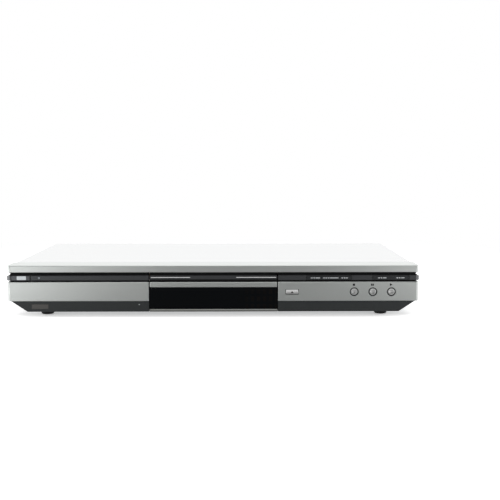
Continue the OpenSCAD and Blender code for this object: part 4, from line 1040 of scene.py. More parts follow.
def turned(
    profile: Sequence[tuple[float, float]], centre: Vector, axis: Axis, steps: int = 48
) -> bmesh.types.BMesh:
    """Turns a profile round an axis, as on a lathe.

    Args:
        profile: (radius, distance along the axis) in mm, from one end to the other.
        centre: Where the axis starts, in metres.
        axis: The way that it points.
        steps: Number of faces round the shape.

    Returns:
        The turned mesh.
    """
    shape = bmesh.new()
    rings = []
    for radius, along in profile:
        if radius == 0:
            rings.append([shape.verts.new(centre + axis.value @ Vector((0, 0, along / 1000)))] * steps)
            continue
        ring = []
        for k in range(steps):
            turn = 2 * math.pi * k / steps
            spot = Vector((radius * math.cos(turn), radius * math.sin(turn), along))
            ring.append(shape.verts.new(centre + axis.value @ spot / 1000))
        rings.append(ring)
    for near, far in zip(rings, rings[1:]):
        for k in range(steps):
            m = (k + 1) % steps
            corners = list(dict.fromkeys([near[k], near[m], far[m], far[k]]))
            if len(corners) > 2:
                shape.faces.new(corners)
    bmesh.ops.recalc_face_normals(shape, faces=shape.faces)
    return shape


def crown_rise(across: float, ridge: float, bulge: float = 1.5) -> float:
    """Tells how far a crowned face has risen, from 0 at its rims to 1 at its highest line.

    Args:
        across: The place on the face, from -1 at the lower side to 1 at the upper.
        ridge: Where the highest line is, in the same measure.
        bulge: How full the face is: 1 is a plain roof, 2 a parabola.

    Returns:
        The share of the full rise.
    """
    way = across - ridge
    span = 1 - ridge if way > 0 else 1 + ridge
    return 1 - abs(way / span) ** bulge


def crowned(
    x: tuple[float, float],
    z: tuple[float, float],
    peak: float,
    rim: float,
    back: float,
    ridge: float,
    soft: float = 0.5,
    rows: int = 14,
    spans: int = 8,
) -> bmesh.types.BMesh:
    """Makes a key cap whose face bulges from its lower to its upper side and is rounded at the ends.

    Args:
        x: Left and right side, in mm.
        z: Lower and upper side, in mm.
        peak: Depth of the face along its highest line, in mm.
        rim: Depth of the face at its rim.
        back: Depth of the cap's back.
        ridge: Where the highest line is, from -1 at the lower side to 1 at the upper.
        soft: Width of the rounding at either end.
        rows: Number of strips from the lower to the upper side.
        spans: Number of strips between the two roundings.

    Returns:
        The closed cap.
    """
    shape = bmesh.new()
    width, height = x[1] - x[0], z[1] - z[0]
    columns = [x[0] + share * soft for share in ROUNDING]
    columns += [x[0] + soft + (width - 2 * soft) * k / spans for k in range(1, spans)]
    columns += [x[1] - share * soft for share in reversed(ROUNDING)]
    grid = []
    for row in range(rows + 1):
        rise = crown_rise(2 * row / rows - 1, ridge)
        line = []
        for place_x in columns:
            inward = min(place_x - x[0], x[1] - place_x, soft) / soft
            side = math.sqrt(max(0.0, 1 - (1 - inward) ** 2))
            depth = rim + (peak - rim) * rise + soft * (1 - side)
            line.append(shape.verts.new(at(place_x, depth, z[0] + height * row / rows)))
        grid.append(line)
    for low, high in zip(grid, grid[1:]):
        for k in range(len(columns) - 1):
            shape.faces.new((low[k], low[k + 1], high[k + 1], high[k]))
    rim_edges = [e for e in shape.edges if e.is_boundary]
    pushed = bmesh.ops.extrude_edge_only(shape, edges=rim_edges)
    for vertex in (v for v in pushed["geom"] if isinstance(v, bmesh.types.BMVert)):
        vertex.co.y = (FRONT_Y + back) / 1000
    bmesh.ops.holes_fill(shape, edges=[e for e in shape.edges if e.is_boundary])
    bmesh.ops.recalc_face_normals(shape, faces=shape.faces)
    return shape


def cut(shape: bmesh.types.BMesh, spot: Vector, way: tuple[float, float, float]) -> None:
    """Draws a line of edges round a mesh, so that the faces on either side can differ in finish.

    Args:
        shape: The mesh.
        spot: A point on the cutting plane, in metres.
        way: The plane's normal.
    """
    whole = shape.verts[:] + shape.edges[:] + shape.faces[:]
    bmesh.ops.bisect_plane(shape, geom=whole, plane_co=spot, plane_no=way)


def joined(shapes: Iterable[bmesh.types.BMesh]) -> bmesh.types.BMesh:
    """Puts several meshes into one.

    Args:
        shapes: The meshes, which are used up.

    Returns:
        One mesh with all their faces.
    """
    whole = bmesh.new()
    for shape in shapes:
        holder = bpy.data.meshes.new("holder")
        shape.to_mesh(holder)
        shape.free()
        whole.from_mesh(holder)
        bpy.data.meshes.remove(holder)
    return whole


def place(
    shape: bmesh.types.BMesh,
    name: str,
    body: str,
    finish: Finish,
    instead_of: Sequence[str] = (),
    smooth_deg: float = 38.0,
) -> bpy.types.Object:
    """Puts a finished mesh into the scene, on the body that carries it.

    Args:
        shape: The mesh, which is used up.
        name: The piece's name.
        body: The CAD body it rides on.
        finish: Its finish.
        instead_of: CAD nodes that it stands for.
        smooth_deg: Edges flatter than this are shaded smooth.

    Returns:
        The piece.
    """
    mesh = bpy.data.meshes.new(name)
    for face in shape.faces:
        face.smooth = True
    shape.to_mesh(mesh)
    shape.free()
    mesh.set_sharp_from_angle(angle=math.radians(smooth_deg))
    piece = bpy.data.objects.new(name, mesh)
    bpy.context.scene.collection.objects.link(piece)
    mesh.materials.append(finish.material())
    even = piece.modifiers.new("even_shading", "WEIGHTED_NORMAL")
    even.keep_sharp = True
    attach(piece, body)
    if instead_of:
        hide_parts(*instead_of)
    LOG.info("%s: %d faces on %s", name, len(mesh.polygons), body)
    return piece


def repaint(piece: bpy.types.Object, finish: Finish, chosen: Callable[[Vector], bool]) -> None:
    """Gives some of a piece's faces a second finish.

    Args:
        piece: The piece.
        finish: The second finish.
        chosen: Tells from a face's centre, in mm right, behind the front and up, whether it takes it.
    """
    piece.data.materials.append(finish.material())
    for face in piece.data.polygons:
        x, y, z = face.center * 1000
        if chosen(Vector((x, y - FRONT_Y, z))):
            face.material_index = 1


def dress(finish: Finish, *nodes: str) -> None:
    """Gives CAD nodes, whose shapes stay, a finish in their own material slots.

    Args:
        finish: The finish.
        nodes: The nodes' names.
    """
    for name in nodes:
        mesh = bpy.data.objects[name].data
        mesh.materials.clear()
        mesh.materials.append(finish.material())
        LOG.info("%s: %s", name, finish.name)


# ---- The player's parts --------------------------------------------------------------------------


class Part:
    """A sub-assembly of the player; lengths in its fields are in millimetres."""

    def build(self) -> None:
        """Builds its meshes; a part whose solids are right as they are has none."""

    def dress(self) -> None:
        """Gives its CAD nodes their finishes; a part that replaces them all has none to dress."""


@dataclass
class Case(Part):
    """Sheet metal: chassis, folded cover, rear panel and their screws."""

    cover_edge_mm: float = 0.3

    def build(self) -> None:
        """Rounds the cover's cut edges."""
        cover = softened("top_cover", self.cover_edge_mm)
        place(cover, "folded_cover", ROOT, COVER, ["top_cover"])

    def dress(self) -> None:
        """Plates the chassis and the screws, and sprays the panel black."""
        dress(ZINC, "chassis")
        dress(PANEL, "rear_panel")
        dress(SCREW, "cover_screws", "chassis_screws")


@dataclass
class FrontMouldings(Part):
    """Bright top lip, face plates and the sill, on the dark base moulding."""

    edge_mm: float = 0.35
    fine_mm: float = 0.2
    skirt_top: float = 18.0
    # Faces of the base moulding further behind the front than this lie in the recess, and are painted near
    # black as painted shade
    recess_from: float = 3.0
    mark_at: tuple[float, float] = (-77.9, 14.5)
    mark_half: tuple[float, float] = (0.5, 0.4)
    mark_depths: tuple[float, float] = (0.94, 1.2)

    def build(self) -> None:
        """Rounds every moulding's edges, so that they catch light as moulded edges do."""
        frame = softened("front_frame", self.fine_mm)
        base = place(frame, "base_moulding", ROOT, SKIRT, ["front_frame"])
        # The recess and the faces above the skirt are painted near black: painted shade on what is one dark
        # grey moulding
        repaint(base, BLACK_AND_RECESS_SHADE, lambda spot: spot.z > self.skirt_top or spot.y > self.recess_from)
        silver = {"top_trim": "top_lip", "left_fascia": "left_plate", "right_fascia": "right_plate"}
        for node, name in silver.items():
            place(softened(node, self.edge_mm), name, ROOT, SILVER, [node])
        sill = softened("window_sill", self.fine_mm)
        place(sill, "display_sill", ROOT, SILL, ["window_sill"])
        mark = slab(centred(*self.mark_at, *self.mark_half), *self.mark_depths)
        place(mark, "base_mark", ROOT, INK_GREY)


@dataclass
class ControlStrips(Part):
    """The grey strips that wrap round both ends, with the power light."""

    edge_mm: float = 0.2
    light_x: float = -182.0
    strip_mid: float = 42.6
    end_x: float = 212.5

    def build(self) -> None:
        """Rounds the strips and sets the light pipe in the left one."""
        for side, sign in (("left", -1), ("right", 1)):
            node = f"{side}_strip"
            shape = softened(node, self.edge_mm)
            cut(shape, at(sign * self.end_x, 0, 0), (1, 0, 0))
            strip = place(shape, f"{side}_control_strip", ROOT, CHARCOAL, [node])
            # The ends beyond end_x get the lighter lacquer, a painted highlight
            repaint(strip, STRIP_END_HIGHLIGHT, lambda spot: abs(spot.x) > self.end_x)
        spot = at(self.light_x, 0, self.strip_mid)
        pipe = turned([(0, -0.12), (0.7, -0.08), (1.0, 0.15), (1.0, 4.0)], spot, Axis.BACK)
        place(pipe, "power_light_face", ROOT, LIGHT_PIPE)

    def dress(self) -> None:
        """Clears the light pipe behind the strip."""
        dress(LIGHT_PIPE, "indicator_lens")


@dataclass
class Display(Part):
    """Smoked window with the tube behind it, and the remote control's sensor."""

    edge_mm: float = 0.2

    def build(self) -> None:
        """Rounds the windows' edges."""
        window = softened("display_window", self.edge_mm)
        place(window, "smoked_window", ROOT, SMOKED, ["display_window"])
        sensor = softened("sensor_window", self.edge_mm)
        place(sensor, "sensor_cover", ROOT, SENSOR_GREY, ["sensor_window"])

    def dress(self) -> None:
        """Gives the tube its segments and the receiver its black epoxy."""
        dress(TUBE, "display_tube")
        dress(CHIP_EPOXY, "infrared_receiver")


@dataclass
class Keys(Part):
    """Every key, with its cap, and the plain symbols beside or on the keys."""

    low_key_z: float = 27.8
    strip_z: tuple[float, float] = (40.1, 45.1)
    play_x: float = 186.6
    pitch: float = 19.5
    round_r: float = 3.75
    open_x: float = 82.4
    open_size: tuple[float, float] = (13.0, 4.8)
    power_edge_mm: float = 0.15
    strip_edge_mm: float = 0.3
    # The open key's face: how far above its carrier it sits, its highest line from -1 at the lower side
    # to 1 at the upper, its depth at the rim and that of its back
    crown_up: float = 0.2
    crown_ridge: float = -0.8
    crown_rim: float = 1.0
    crown_back: float = 2.0
    # How far the print on that face stands out of it
    crown_print: float = 0.07
    pad_x: float = -200.2
    pad_half_w: float = 4.8
    pad_corner: float = 0.4
    pad_edge: float = 0.12
    # Gaps between the pad and the strip's lower and upper edge
    pad_gaps: tuple[float, float] = (0.7, 0.4)
    pad_depths: tuple[float, float] = (-0.42, 0.2)
    proud: float = 0.8
    flange: tuple[float, float] = (2.6, 3.1)
    stem_r: float = 1.5
    stem_end: float = 8.6
    print_mm: float = 0.04
    # Depth at which a slab of print ends, well inside what it is printed on
    print_back: float = 0.2
    symbol_z: float = 35.3
    symbol_left: float = 0.4
    symbol_half: float = 1.1
    stop_half_w: float = 1.15
    bar_half_w: float = 0.65
    bar_from_mid: float = 0.82
    legend_z: float = 42.5
    legend_half: float = 0.75
    legend_depths: tuple[float, float] = (0.06, 0.3)
    arrow_w: float = 2.2
    arrow_gap: float = 0.3
    bar_gap: float = 0.5
    bar_half: float = 0.45
    # Left side, right side and number of arrows of each strip key's legend
    legends: tuple[tuple[float, float, int], ...] = (
        (101.4, 111.7, 2), (114.1, 130.9, 3), (133.3, 140.7, 2), (172.0, 181.2, 2), (191.1, 200.1, 2),
    )

    def build(self) -> None:
        """Makes the caps and prints the symbols."""
        for steps, node in enumerate(("key_play", "key_pause", "key_stop")):
            self.build_round_key(node, self.play_x - steps * self.pitch)
        self.build_open_key()
        power = softened("key_power", self.power_edge_mm)
        place(power, "key_power_cap", "key_power", POWER_GREY, ["key_power"])
        for number in range(1, len(self.legends) + 1):
            node = f"strip_key_{number}"
            cap = softened(node, self.strip_edge_mm)
            place(cap, f"{node}_cap", node, STRIP_KEY, [node])
        self.build_power_pad()
        self.print_symbols()
        self.print_legends()

    def build_round_key(self, node: str, x: float) -> None:
        """Turns a dished cap and the black carrier behind it.

        Args:
            node: The key's node, which is also its body.
            x: The key's distance from the middle.
        """
        centre = at(x, 0, self.low_key_z)
        r, front = self.round_r, -self.proud
        cap = turned(
            [(0, front + 0.5), (0.7, front + 0.47), (1.4, front + 0.36), (2.0, front + 0.18),
             (2.4, front + 0.04), (2.6, front), (2.8, front + 0.03), (3.1, front + 0.2),
             (3.35, front + 0.55), (3.45, front + 1.0), (3.5, 1.0), (r, 1.4)],
            centre, Axis.BACK, 64,
        )
        place(cap, f"{node}_cap", node, SILVER_KEY)
        start, end = self.flange
        carrier = turned(
            [(r - 0.1, 1.3), (r, 1.5), (r, start), (r + 1.7, start), (r + 1.7, end), (self.stem_r, end),
             (self.stem_r, self.stem_end), (0, self.stem_end)],
            centre, Axis.BACK,
        )
        place(carrier, f"{node}_carrier", node, BLACK_AND_RECESS_SHADE, [node])

    def build_open_key(self) -> None:
        """Makes the crowned open key, with its triangle printed on it and a black carrier behind."""
        half_w, half_h = (size / 2 for size in self.open_size)
        x, z = self.open_x, self.low_key_z
        cap = crowned(
            (x - half_w, x + half_w), (z - half_h + self.crown_up, z + half_h + self.crown_up),
            -self.proud, self.crown_rim, self.crown_back, self.crown_ridge,
        )
        # The open key's lighter lacquer is a painted highlight
        place(cap, "key_open_cap", "key_open", OPEN_KEY_HIGHLIGHT)
        start, end = self.flange
        carrier = joined([
            slab(centred(x, z, half_w - 0.05, half_h - 0.05), 1.35, start + 0.1),
            slab(centred(x, z, half_w + 1.2, half_h + 1.2), start, end),
            turned(
                [(self.stem_r, end - 0.1), (self.stem_r, self.stem_end), (0, self.stem_end)],
                at(x, 0, z), Axis.BACK,
            ),
        ])
        place(carrier, "key_open_carrier", "key_open", BLACK_AND_RECESS_SHADE, ["key_open"])
        mark = slab([(x - 1.6, z - 1.1), (x + 1.6, z - 1.1), (x, z + 0.9)], 0.0, 0.3)
        for vertex in mark.verts:
            rise = crown_rise((vertex.co.z * 1000 - z - self.crown_up) / half_h, self.crown_ridge)
            vertex.co.y += (self.crown_rim - self.crown_print - (self.proud + self.crown_rim) * rise) / 1000
        place(mark, "open_symbol", "key_open", INK_DARK)

    def build_power_pad(self) -> None:
        """Sets the pearl pad on the power key."""
        low, high = self.strip_z[0] + self.pad_gaps[0], self.strip_z[1] - self.pad_gaps[1]
        left, right = self.pad_x - self.pad_half_w, self.pad_x + self.pad_half_w
        outline = oblong(left, low, right, high, self.pad_corner)
        pad = slab(outline, *self.pad_depths, self.pad_edge)
        place(pad, "power_key_pad", "key_power", PAD)

    def print_symbols(self) -> None:
        """Prints the stop, pause and play symbols on the right face plate."""
        z = self.symbol_z
        play_x = self.play_x - self.symbol_left
        stop_x, pause_x = play_x - 2 * self.pitch, play_x - self.pitch - 0.1
        shapes = [centred(stop_x, z, self.stop_half_w, self.symbol_half)]
        for side in (-1, 1):
            bar_x = pause_x + side * self.bar_from_mid
            shapes.append(centred(bar_x, z, self.bar_half_w, self.symbol_half))
        shapes.append([(play_x - 1.2, z - 1.4), (play_x + 1.5, z), (play_x - 1.2, z + 1.4)])
        symbols = joined(slab(outline, -self.print_mm, self.print_back) for outline in shapes)
        place(symbols, "key_symbols", ROOT, INK_DARK)

    def print_legends(self) -> None:
        """Prints a row of plain arrows and a bar on each strip key."""
        z, half = self.legend_z, self.legend_half
        for number, (x0, x1, arrows) in enumerate(self.legends, 1):
            shapes = []
            for k in range(arrows):
                left = x0 + k * (self.arrow_w + self.arrow_gap)
                right = left + self.arrow_w
                shapes.append([(left, z), (right, z - half), (right, z + half)])
            bar = x0 + arrows * (self.arrow_w + self.arrow_gap) + self.bar_gap
            shapes.append(oblong(bar, z - self.bar_half, x1, z + self.bar_half))
            legend = joined(slab(outline, *self.legend_depths) for outline in shapes)
            place(legend, f"strip_key_{number}_legend", f"strip_key_{number}", INK_GREY)


@dataclass
class Feet(Part):
    """Four moulded rubber feet."""

    across: float = 360.0
    depths: tuple[float, float] = (31.6, 222.0)
    radius: float = 7.0
    height: float = 6.9

    def build(self) -> None:
        """Turns each foot with its counterbore and a moulded bead round the side."""
        r, h = self.radius, self.height
        profile = [(0, 1.4), (2.4, 1.4), (2.6, 1.2), (2.6, 0.2), (2.9, 0.0), (r - 2.3, 0), (r - 1.2, 0.25),
                   (r - 0.4, 1.0), (r - 0.05, 2.1), (r, 3.4), (r - 0.25, 3.6), (r - 0.25, 4.0), (r, 4.2),
                   (r, h - 0.5), (r - 0.5, h), (0, h)]
        spots = [at(side * self.across / 2, depth, 0) for side in (-1, 1) for depth in self.depths]
        feet = joined(turned(profile, spot, Axis.UP) for spot in spots)
        place(feet, "rubber_feet", ROOT, RUBBER, ["feet"])


@dataclass
class Tray(Part):
    """Disc tray with its door."""

    edge_mm: float = 0.25
    bar_edge_mm: float = 0.15
    lip_edge_mm: float = 0.3
    # The door's bar is grey above this height and as far back as that; elsewhere it is painted black, as
    # painted shade along its lower edge and in the recess
    grey_from: float = 41.3
    grey_back: float = 2.0
    line_z: float = 43.2
    line_half: float = 0.28
    line_depths: tuple[float, float] = (-0.04, 0.2)
    lines_x: tuple[tuple[float, float], ...] = ((-65.4, -24.3), (24.0, 65.4))

    def build(self) -> None:
        """Rounds the tray and its door, and prints the door's two thin lines."""
        tray = softened("disc_tray", self.edge_mm)
        place(tray, "tray_moulding", "tray", TRAY_GREY, ["disc_tray"])
        bar = softened("tray_door", self.bar_edge_mm)
        cut(bar, at(0, 0, self.grey_from), (0, 0, 1))
        door = place(bar, "tray_door_bar", "tray", CHARCOAL, ["tray_door"])
        # Black below the grey band and deep in the recess is painted shade
        repaint(door, BLACK_AND_RECESS_SHADE, lambda spot: spot.y > self.grey_back or spot.z < self.grey_from)
        lip = softened("door_lip", self.lip_edge_mm)
        place(lip, "tray_door_lip", "tray", SILVER, ["door_lip"])
        low, high = self.line_z - self.line_half, self.line_z + self.line_half
        lines = joined(slab(oblong(x0, low, x1, high), *self.line_depths) for x0, x1 in self.lines_x)
        place(lines, "door_lines", "tray", INK_WHITE)


@dataclass
class Electronics(Part):
    """Boards, their components, the sockets and the cables."""

    phono_pitch: float = 16.0
    block_half: float = 5.5
    phono_z: tuple[float, float] = (21.1, 35.1)
    panel_depth: float = 249.1

    def build(self) -> None:
        """Adds the coloured rings and the contacts of the phono sockets."""
        colours = [(RingColour.DIGITAL, RingColour.VIDEO), (RingColour.RIGHT, RingColour.LEFT),
                   (RingColour.GREEN, RingColour.BLUE)]
        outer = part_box("phono_sockets")[1][0] * 1000 - self.block_half
        for number, pair in enumerate(colours):
            for z, colour in zip(self.phono_z, pair):
                self.build_socket(outer - number * self.phono_pitch, z, colour)

    def build_socket(self, x: float, z: float, colour: RingColour) -> None:
        """Dresses one phono socket.

        Args:
            x: Its distance from the middle.
            z: Its height.
            colour: The ring's colour.
        """
        name = colour.name.lower()
        spot = at(x, self.panel_depth, z)
        ring = turned([(4.7, 0.0), (5.9, 0.0), (5.9, 0.6), (5.6, 0.9), (4.7, 0.9)], spot, Axis.BACK)
        finish = MouldedPlastic(f"{name}_moulded_ring", colour.value, roughness=0.35, worn=colour.value)
        place(ring, f"phono_ring_{name}", ROOT, finish)
        sleeve = turned([(1.7, 8.86), (4.18, 8.86), (4.18, 3.0), (4.16, 0.92)], spot, Axis.BACK)
        place(sleeve, f"phono_sleeve_{name}", ROOT, GOLD)

    def dress(self) -> None:
        """Gives each board and component the finish of its kind."""
        dress(GREEN_BOARD, "main_board", "front_boards")
        dress(BROWN_BOARD, "power_board")
        dress(CHIP_EPOXY, "processor_chips")
        dress(SOCKET_BLACK, "tact_switches", "mains_inlet", "scart_socket", "phono_sockets")
        dress(CORE, "transformer")
        dress(SLEEVE, "capacitors")
        dress(EXTRUDED, "heat_sink")
        dress(CABLE, "ribbon_cables")
        dress(WIRE, "supply_harness")


@dataclass
class Loader(Part):
    """The loader's frame, its gear train and the bridge with the clamper."""

    def dress(self) -> None:
        """Gives each moving piece the finish of its kind."""
        dress(LOADER_BLACK, "loader_frame")
        dress(ZINC, "clamp_bridge")
        dress(WHITE_GEAR, "clamper", "motor_pulley", "pulley_gear", "drive_gear", "cam_slider")
        dress(TURNED, "loading_motor")
        dress(BELT, "drive_belt")


@dataclass
class Traverse(Part):
    """The tipping deck with turntable and pickup."""

    lens_depth: float = 116.0
    lens_z: float = 37.25
    turntable_depth: float = 92.0
    mat_z: float = 40.3

    def build(self) -> None:
        """Adds the pickup's glass lens and the turntable's rubber ring."""
        lens = turned(
            [(2.2, 0.0), (2.15, 0.1), (1.6, 0.32), (0.8, 0.45), (0, 0.5)],
            at(0, self.lens_depth, self.lens_z), Axis.UP,
        )
        place(lens, "objective_lens", "pickup", LENS)
        ring = turned(
            [(14.4, 0.0), (14.4, 0.12), (14.2, 0.22), (11.2, 0.22), (11.0, 0.12), (11.0, 0.0)],
            at(0, self.turntable_depth, self.mat_z), Axis.UP,
        )
        place(ring, "turntable_mat", "turntable", RUBBER)

    def dress(self) -> None:
        """Gives each piece the finish of its kind."""
        dress(DECK_GREY, "traverse_frame")
        dress(TURNED, "spindle_motor", "guide_rods", "feed_motor")
        dress(LOADER_BLACK, "turntable", "pickup")
        dress(WHITE_GEAR, "feed_gear")


# ---- Studio --------------------------------------------------------------------------------------


def seen_directly(tree: Tree) -> Socket:
    """Tells whether a ray comes from the camera, straight or through something clear.

    Args:
        tree: The node tree that asks.

    Returns:
        1 for such a ray, 0 for any other.
    """
    ray = add(tree, "ShaderNodeLightPath")
    seen = add(
        tree,
        "ShaderNodeMath",
        {0: ray.outputs["Is Camera Ray"], 1: ray.outputs["Is Transmission Ray"]},
        operation="MAXIMUM",
    )
    return seen.outputs[0]


@dataclass(frozen=True)
class Softbox:
    """An area lamp: where it stands, what it points at, its size and its power."""

    name: str
    spot: tuple[float, float, float]
    aim: tuple[float, float, float]
    size: tuple[float, float]
    watts: float

    def hang(self) -> None:
        """Adds the lamp to the scene."""
        lamp = bpy.data.lights.new(self.name, "AREA")
        lamp.shape = "RECTANGLE"
        lamp.size, lamp.size_y = self.size
        lamp.energy = self.watts
        holder = bpy.data.objects.new(self.name, lamp)
        holder.location = self.spot
        holder.rotation_euler = (Vector(self.aim) - Vector(self.spot)).to_track_quat("-Z", "Y").to_euler()
        holder.visible_camera = False
        bpy.context.scene.collection.objects.link(holder)


@dataclass
class Studio:
    """White table and backdrop, soft lamps and the camera, in metres.

    The camera sees plain white but for the player's shadow on the table, which painted shade deepens
    under the player, and dull surfaces are lit evenly. Only what polished surfaces mirror is graded: a
    dark room ahead, a table that brightens towards its two ends, and dimmer walls and ceiling.
    """

    camera_at: tuple[float, float, float] = (0.0275, -1.0766, 0.1671)
    pitch_deg: float = 5.73
    yaw_deg: float = 0.65
    lens_mm: float = 65.8
    table_half: float = 12.0
    # The table lies this far under the feet, so that they share no face
    table_drop: float = 0.0002
    # Distance from the middle over which the table turns plain white to the camera
    white_from: tuple[float, float] = (0.4, 0.8)
    # The table near the player, to the camera: how much lamp light it sends back, and a glow that fades
    # from its first level to its second over that depth behind the front face; its weaker glow under the
    # player is painted shade on the player's shadow
    seen_white: float = 1.15
    painted_shade_depths: tuple[float, float] = (0.003, 0.03)
    painted_shade_glow_levels: tuple[float, float] = (0.9, 0.345)
    # The table in polished surfaces: its level ahead of the player, what each end adds, how late that
    # comes on the way to the end, and its level beside and behind the player
    table_glow: float = 0.2
    left_glow: float = 1.6
    left_rise: float = 2.4
    right_glow: float = 0.95
    right_rise: float = 3.6
    end_x: float = 0.36
    side_glow: float = 0.6
    side_blend: float = 0.02
    # The room in polished surfaces, by direction: the dark part ahead, then walls and ceiling as shares
    dark_way: tuple[float, float, float] = (0.06, -1.0, 0.0)
    dark_edge: tuple[float, float] = (0.5, 0.92)
    dark_levels: tuple[float, float] = (1.02, 0.05)
    wall_edge: tuple[float, float] = (0.35, 0.9)
    wall_share: float = 0.6
    ceiling_edge: tuple[float, float] = (0.6, 0.85)
    ceiling_share: float = 0.35
    # The ceiling keeps its full level ahead of the player, from the first of these to the second
    ahead_edge: tuple[float, float] = (0.05, 0.35)
    # The room's even level on dull surfaces
    room_level: float = 0.79
    lamps: tuple[Softbox, ...] = (
        Softbox("overhead", (0.0, 0.05, 0.95), (0.0, 0.0, 0.0), (1.3, 1.0), 2.0),
        Softbox("left_side", (-0.95, -0.1, 0.3), (0.0, -0.05, 0.03), (0.8, 0.5), 1.0),
        Softbox("right_side", (0.95, -0.1, 0.3), (0.0, -0.05, 0.03), (0.8, 0.5), 1.0),
    )

    def build(self) -> None:
        """Sets up the table, the backdrop, the lamps and the camera."""
        self.build_table()
        self.build_backdrop()
        for lamp in self.lamps:
            lamp.hang()
        self.build_camera()

    def build_table(self) -> None:
        """Lays the table and gives it one look for the camera, one for gloss and one for the rest."""
        sheet = bpy.data.meshes.new("table")
        half = self.table_half
        sheet.from_pydata(
            [(-half, -half, 0), (half, -half, 0), (half, half, 0), (-half, half, 0)], [], [(0, 1, 2, 3)]
        )
        table = bpy.data.objects.new("table", sheet)
        table.location.z = -self.table_drop
        bpy.context.scene.collection.objects.link(table)
        material = bpy.data.materials.new("white_table")
        material.use_nodes = True
        tree = material.node_tree
        tree.nodes.clear()
        lit = add(tree, "ShaderNodeBsdfDiffuse", {"Color": (0.8, 0.8, 0.8, 1)})
        glossy = add(tree, "ShaderNodeLightPath").outputs["Is Glossy Ray"]
        other = add(
            tree, "ShaderNodeMixShader", {0: glossy, 1: lit.outputs[0], 2: self.mirrored_table(tree)}
        )
        look = add(
            tree,
            "ShaderNodeMixShader",
            {0: seen_directly(tree), 1: other.outputs[0], 2: self.seen_table(tree)},
        )
        add(tree, "ShaderNodeOutputMaterial", {"Surface": look.outputs[0]})
        sheet.materials.append(material)

    def seen_table(self, tree: Tree) -> Socket:
        """Shades the table for the camera: shadow and painted shade near the player, plain white further
        away.

        Args:
            tree: The table's node tree.

        Returns:
            The shader.
        """
        spot = add(tree, "ShaderNodeTexCoord").outputs["Object"]
        split = add(tree, "ShaderNodeSeparateXYZ", {"Vector": spot})
        front = FRONT_Y / 1000
        # Less glow under the player: painted shade that darkens its shadow there
        fade = add(
            tree,
            "ShaderNodeMapRange",
            {
                "Value": split.outputs["Y"], "From Min": front + self.painted_shade_depths[0],
                "From Max": front + self.painted_shade_depths[1], "To Min": self.painted_shade_glow_levels[0],
                "To Max": self.painted_shade_glow_levels[1],
            },
        )
        glow = add(tree, "ShaderNodeEmission", {"Strength": fade.outputs[0]})
        sent = self.seen_white
        dull = add(tree, "ShaderNodeBsdfDiffuse", {"Color": (sent, sent, sent, 1)})
        near = add(tree, "ShaderNodeAddShader", {0: dull.outputs[0], 1: glow.outputs[0]})
        white = add(tree, "ShaderNodeEmission", {"Strength": 1.0})
        away = add(tree, "ShaderNodeVectorMath", {0: spot}, operation="LENGTH")
        far = add(
            tree,
            "ShaderNodeMapRange",
            {
                "Value": away.outputs["Value"], "From Min": self.white_from[0],
                "From Max": self.white_from[1],
            },
            interpolation_type="SMOOTHSTEP",
        )
        shown = add(
            tree, "ShaderNodeMixShader", {0: far.outputs[0], 1: near.outputs[0], 2: white.outputs[0]}
        )
        return shown.outputs[0]

    def mirrored_table(self, tree: Tree) -> Socket:
        """Shades the table that polished surfaces mirror: brighter at its ends, even beside the player.

        Args:
            tree: The table's node tree.

        Returns:
            The shader.
        """
        spot = add(tree, "ShaderNodeTexCoord").outputs["Object"]
        split = add(tree, "ShaderNodeSeparateXYZ", {"Vector": spot})
        level = self.table_glow
        left = (-self.end_x, self.left_glow, self.left_rise)
        right = (self.end_x, self.right_glow, self.right_rise)
        for end, glow, rise in (left, right):
            along = add(
                tree, "ShaderNodeMapRange", {"Value": split.outputs["X"], "From Min": 0.0, "From Max": end}
            )
            curve = add(tree, "ShaderNodeMath", {0: along.outputs[0], 1: rise}, operation="POWER")
            level = add(
                tree, "ShaderNodeMath", {0: curve.outputs[0], 1: glow, 2: level}, operation="MULTIPLY_ADD"
            ).outputs[0]
        front = FRONT_Y / 1000
        beside = add(
            tree,
            "ShaderNodeMapRange",
            {
                "Value": split.outputs["Y"], "From Min": front - self.side_blend,
                "From Max": front + self.side_blend,
            },
        )
        level = add(
            tree, "ShaderNodeMix", {MIX_AMOUNT: beside.outputs[0], MIX_FROM: level, MIX_TO: self.side_glow}
        )
        return add(tree, "ShaderNodeEmission", {"Strength": level.outputs[0]}).outputs[0]

    def build_backdrop(self) -> None:
        """Makes the world plain white to the camera, even to dull surfaces and graded to polished ones."""
        world = bpy.data.worlds.new("white_backdrop")
        bpy.context.scene.world = world
        world.use_nodes = True
        tree = world.node_tree
        tree.nodes.clear()
        glossy = add(tree, "ShaderNodeLightPath").outputs["Is Glossy Ray"]
        level = add(
            tree,
            "ShaderNodeMix",
            {MIX_AMOUNT: glossy, MIX_FROM: self.room_level, MIX_TO: self.mirrored_room(tree)},
        )
        strength = add(
            tree,
            "ShaderNodeMix",
            {MIX_AMOUNT: seen_directly(tree), MIX_FROM: level.outputs[0], MIX_TO: 1.0},
        )
        sky = add(tree, "ShaderNodeBackground", {"Color": (1, 1, 1, 1), "Strength": strength.outputs[0]})
        add(tree, "ShaderNodeOutputWorld", {"Surface": sky.outputs[0]})

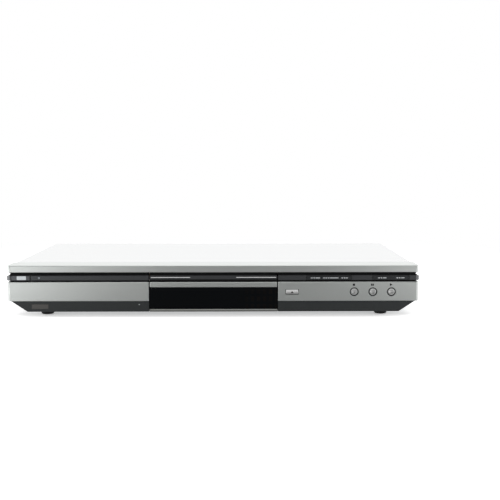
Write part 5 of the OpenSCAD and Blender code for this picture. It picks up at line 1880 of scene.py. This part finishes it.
    def mirrored_room(self, tree: Tree) -> Socket:
        """Grades the room that polished surfaces mirror.

        Args:
            tree: The world's node tree.

        Returns:
            The room's level in each direction.
        """
        way = add(tree, "ShaderNodeTexCoord").outputs["Generated"]
        split = add(tree, "ShaderNodeSeparateXYZ", {"Vector": way})
        front = add(tree, "ShaderNodeVectorMath", {0: way, 1: self.dark_way}, operation="DOT_PRODUCT")
        room = add(
            tree,
            "ShaderNodeMapRange",
            {
                "Value": front.outputs["Value"], "From Min": self.dark_edge[0],
                "From Max": self.dark_edge[1], "To Min": self.dark_levels[0], "To Max": self.dark_levels[1],
            },
            interpolation_type="SMOOTHSTEP",
        )
        aside = add(tree, "ShaderNodeMath", {0: split.outputs["X"]}, operation="ABSOLUTE")
        wall = add(
            tree,
            "ShaderNodeMapRange",
            {
                "Value": aside.outputs[0], "From Min": self.wall_edge[0], "From Max": self.wall_edge[1],
                "To Min": 1.0, "To Max": self.wall_share,
            },
        )
        high = add(
            tree,
            "ShaderNodeMapRange",
            {
                "Value": split.outputs["Z"], "From Min": self.ceiling_edge[0],
                "From Max": self.ceiling_edge[1], "To Min": 1.0, "To Max": self.ceiling_share,
            },
        )
        ahead = add(
            tree,
            "ShaderNodeMapRange",
            {
                "Value": front.outputs["Value"], "From Min": self.ahead_edge[0],
                "From Max": self.ahead_edge[1],
            },
        )
        ceiling = add(
            tree, "ShaderNodeMix", {MIX_AMOUNT: ahead.outputs[0], MIX_FROM: high.outputs[0], MIX_TO: 1.0}
        )
        level = room.outputs[0]
        for share in (wall, ceiling):
            level = add(
                tree, "ShaderNodeMath", {0: level, 1: share.outputs[0]}, operation="MULTIPLY"
            ).outputs[0]
        return level

    def build_camera(self) -> None:
        """Puts the camera at the height and distance of a table-top photograph."""
        lens = bpy.data.cameras.new("camera")
        lens.lens = self.lens_mm
        lens.sensor_width = 36.0
        lens.clip_end = 50.0
        camera = bpy.data.objects.new("camera", lens)
        camera.location = self.camera_at
        camera.rotation_euler = (math.radians(90 - self.pitch_deg), 0.0, math.radians(-self.yaw_deg))
        bpy.context.scene.collection.objects.link(camera)
        bpy.context.scene.camera = camera


PARTS: tuple[type[Part], ...] = (
    Case, FrontMouldings, ControlStrips, Display, Keys, Feet, Tray, Electronics, Loader, Traverse,
)


def main() -> None:
    """Builds and dresses the player, then the studio."""
    logging.basicConfig(level=logging.INFO, format="%(message)s")
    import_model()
    for kind in PARTS:
        LOG.info("%s", kind.__name__)
        part = kind()
        part.build()
        part.dress()
    Studio().build()
    scene = bpy.context.scene
    scene.view_settings.view_transform = "Standard"


if __name__ == "__main__":
    main()
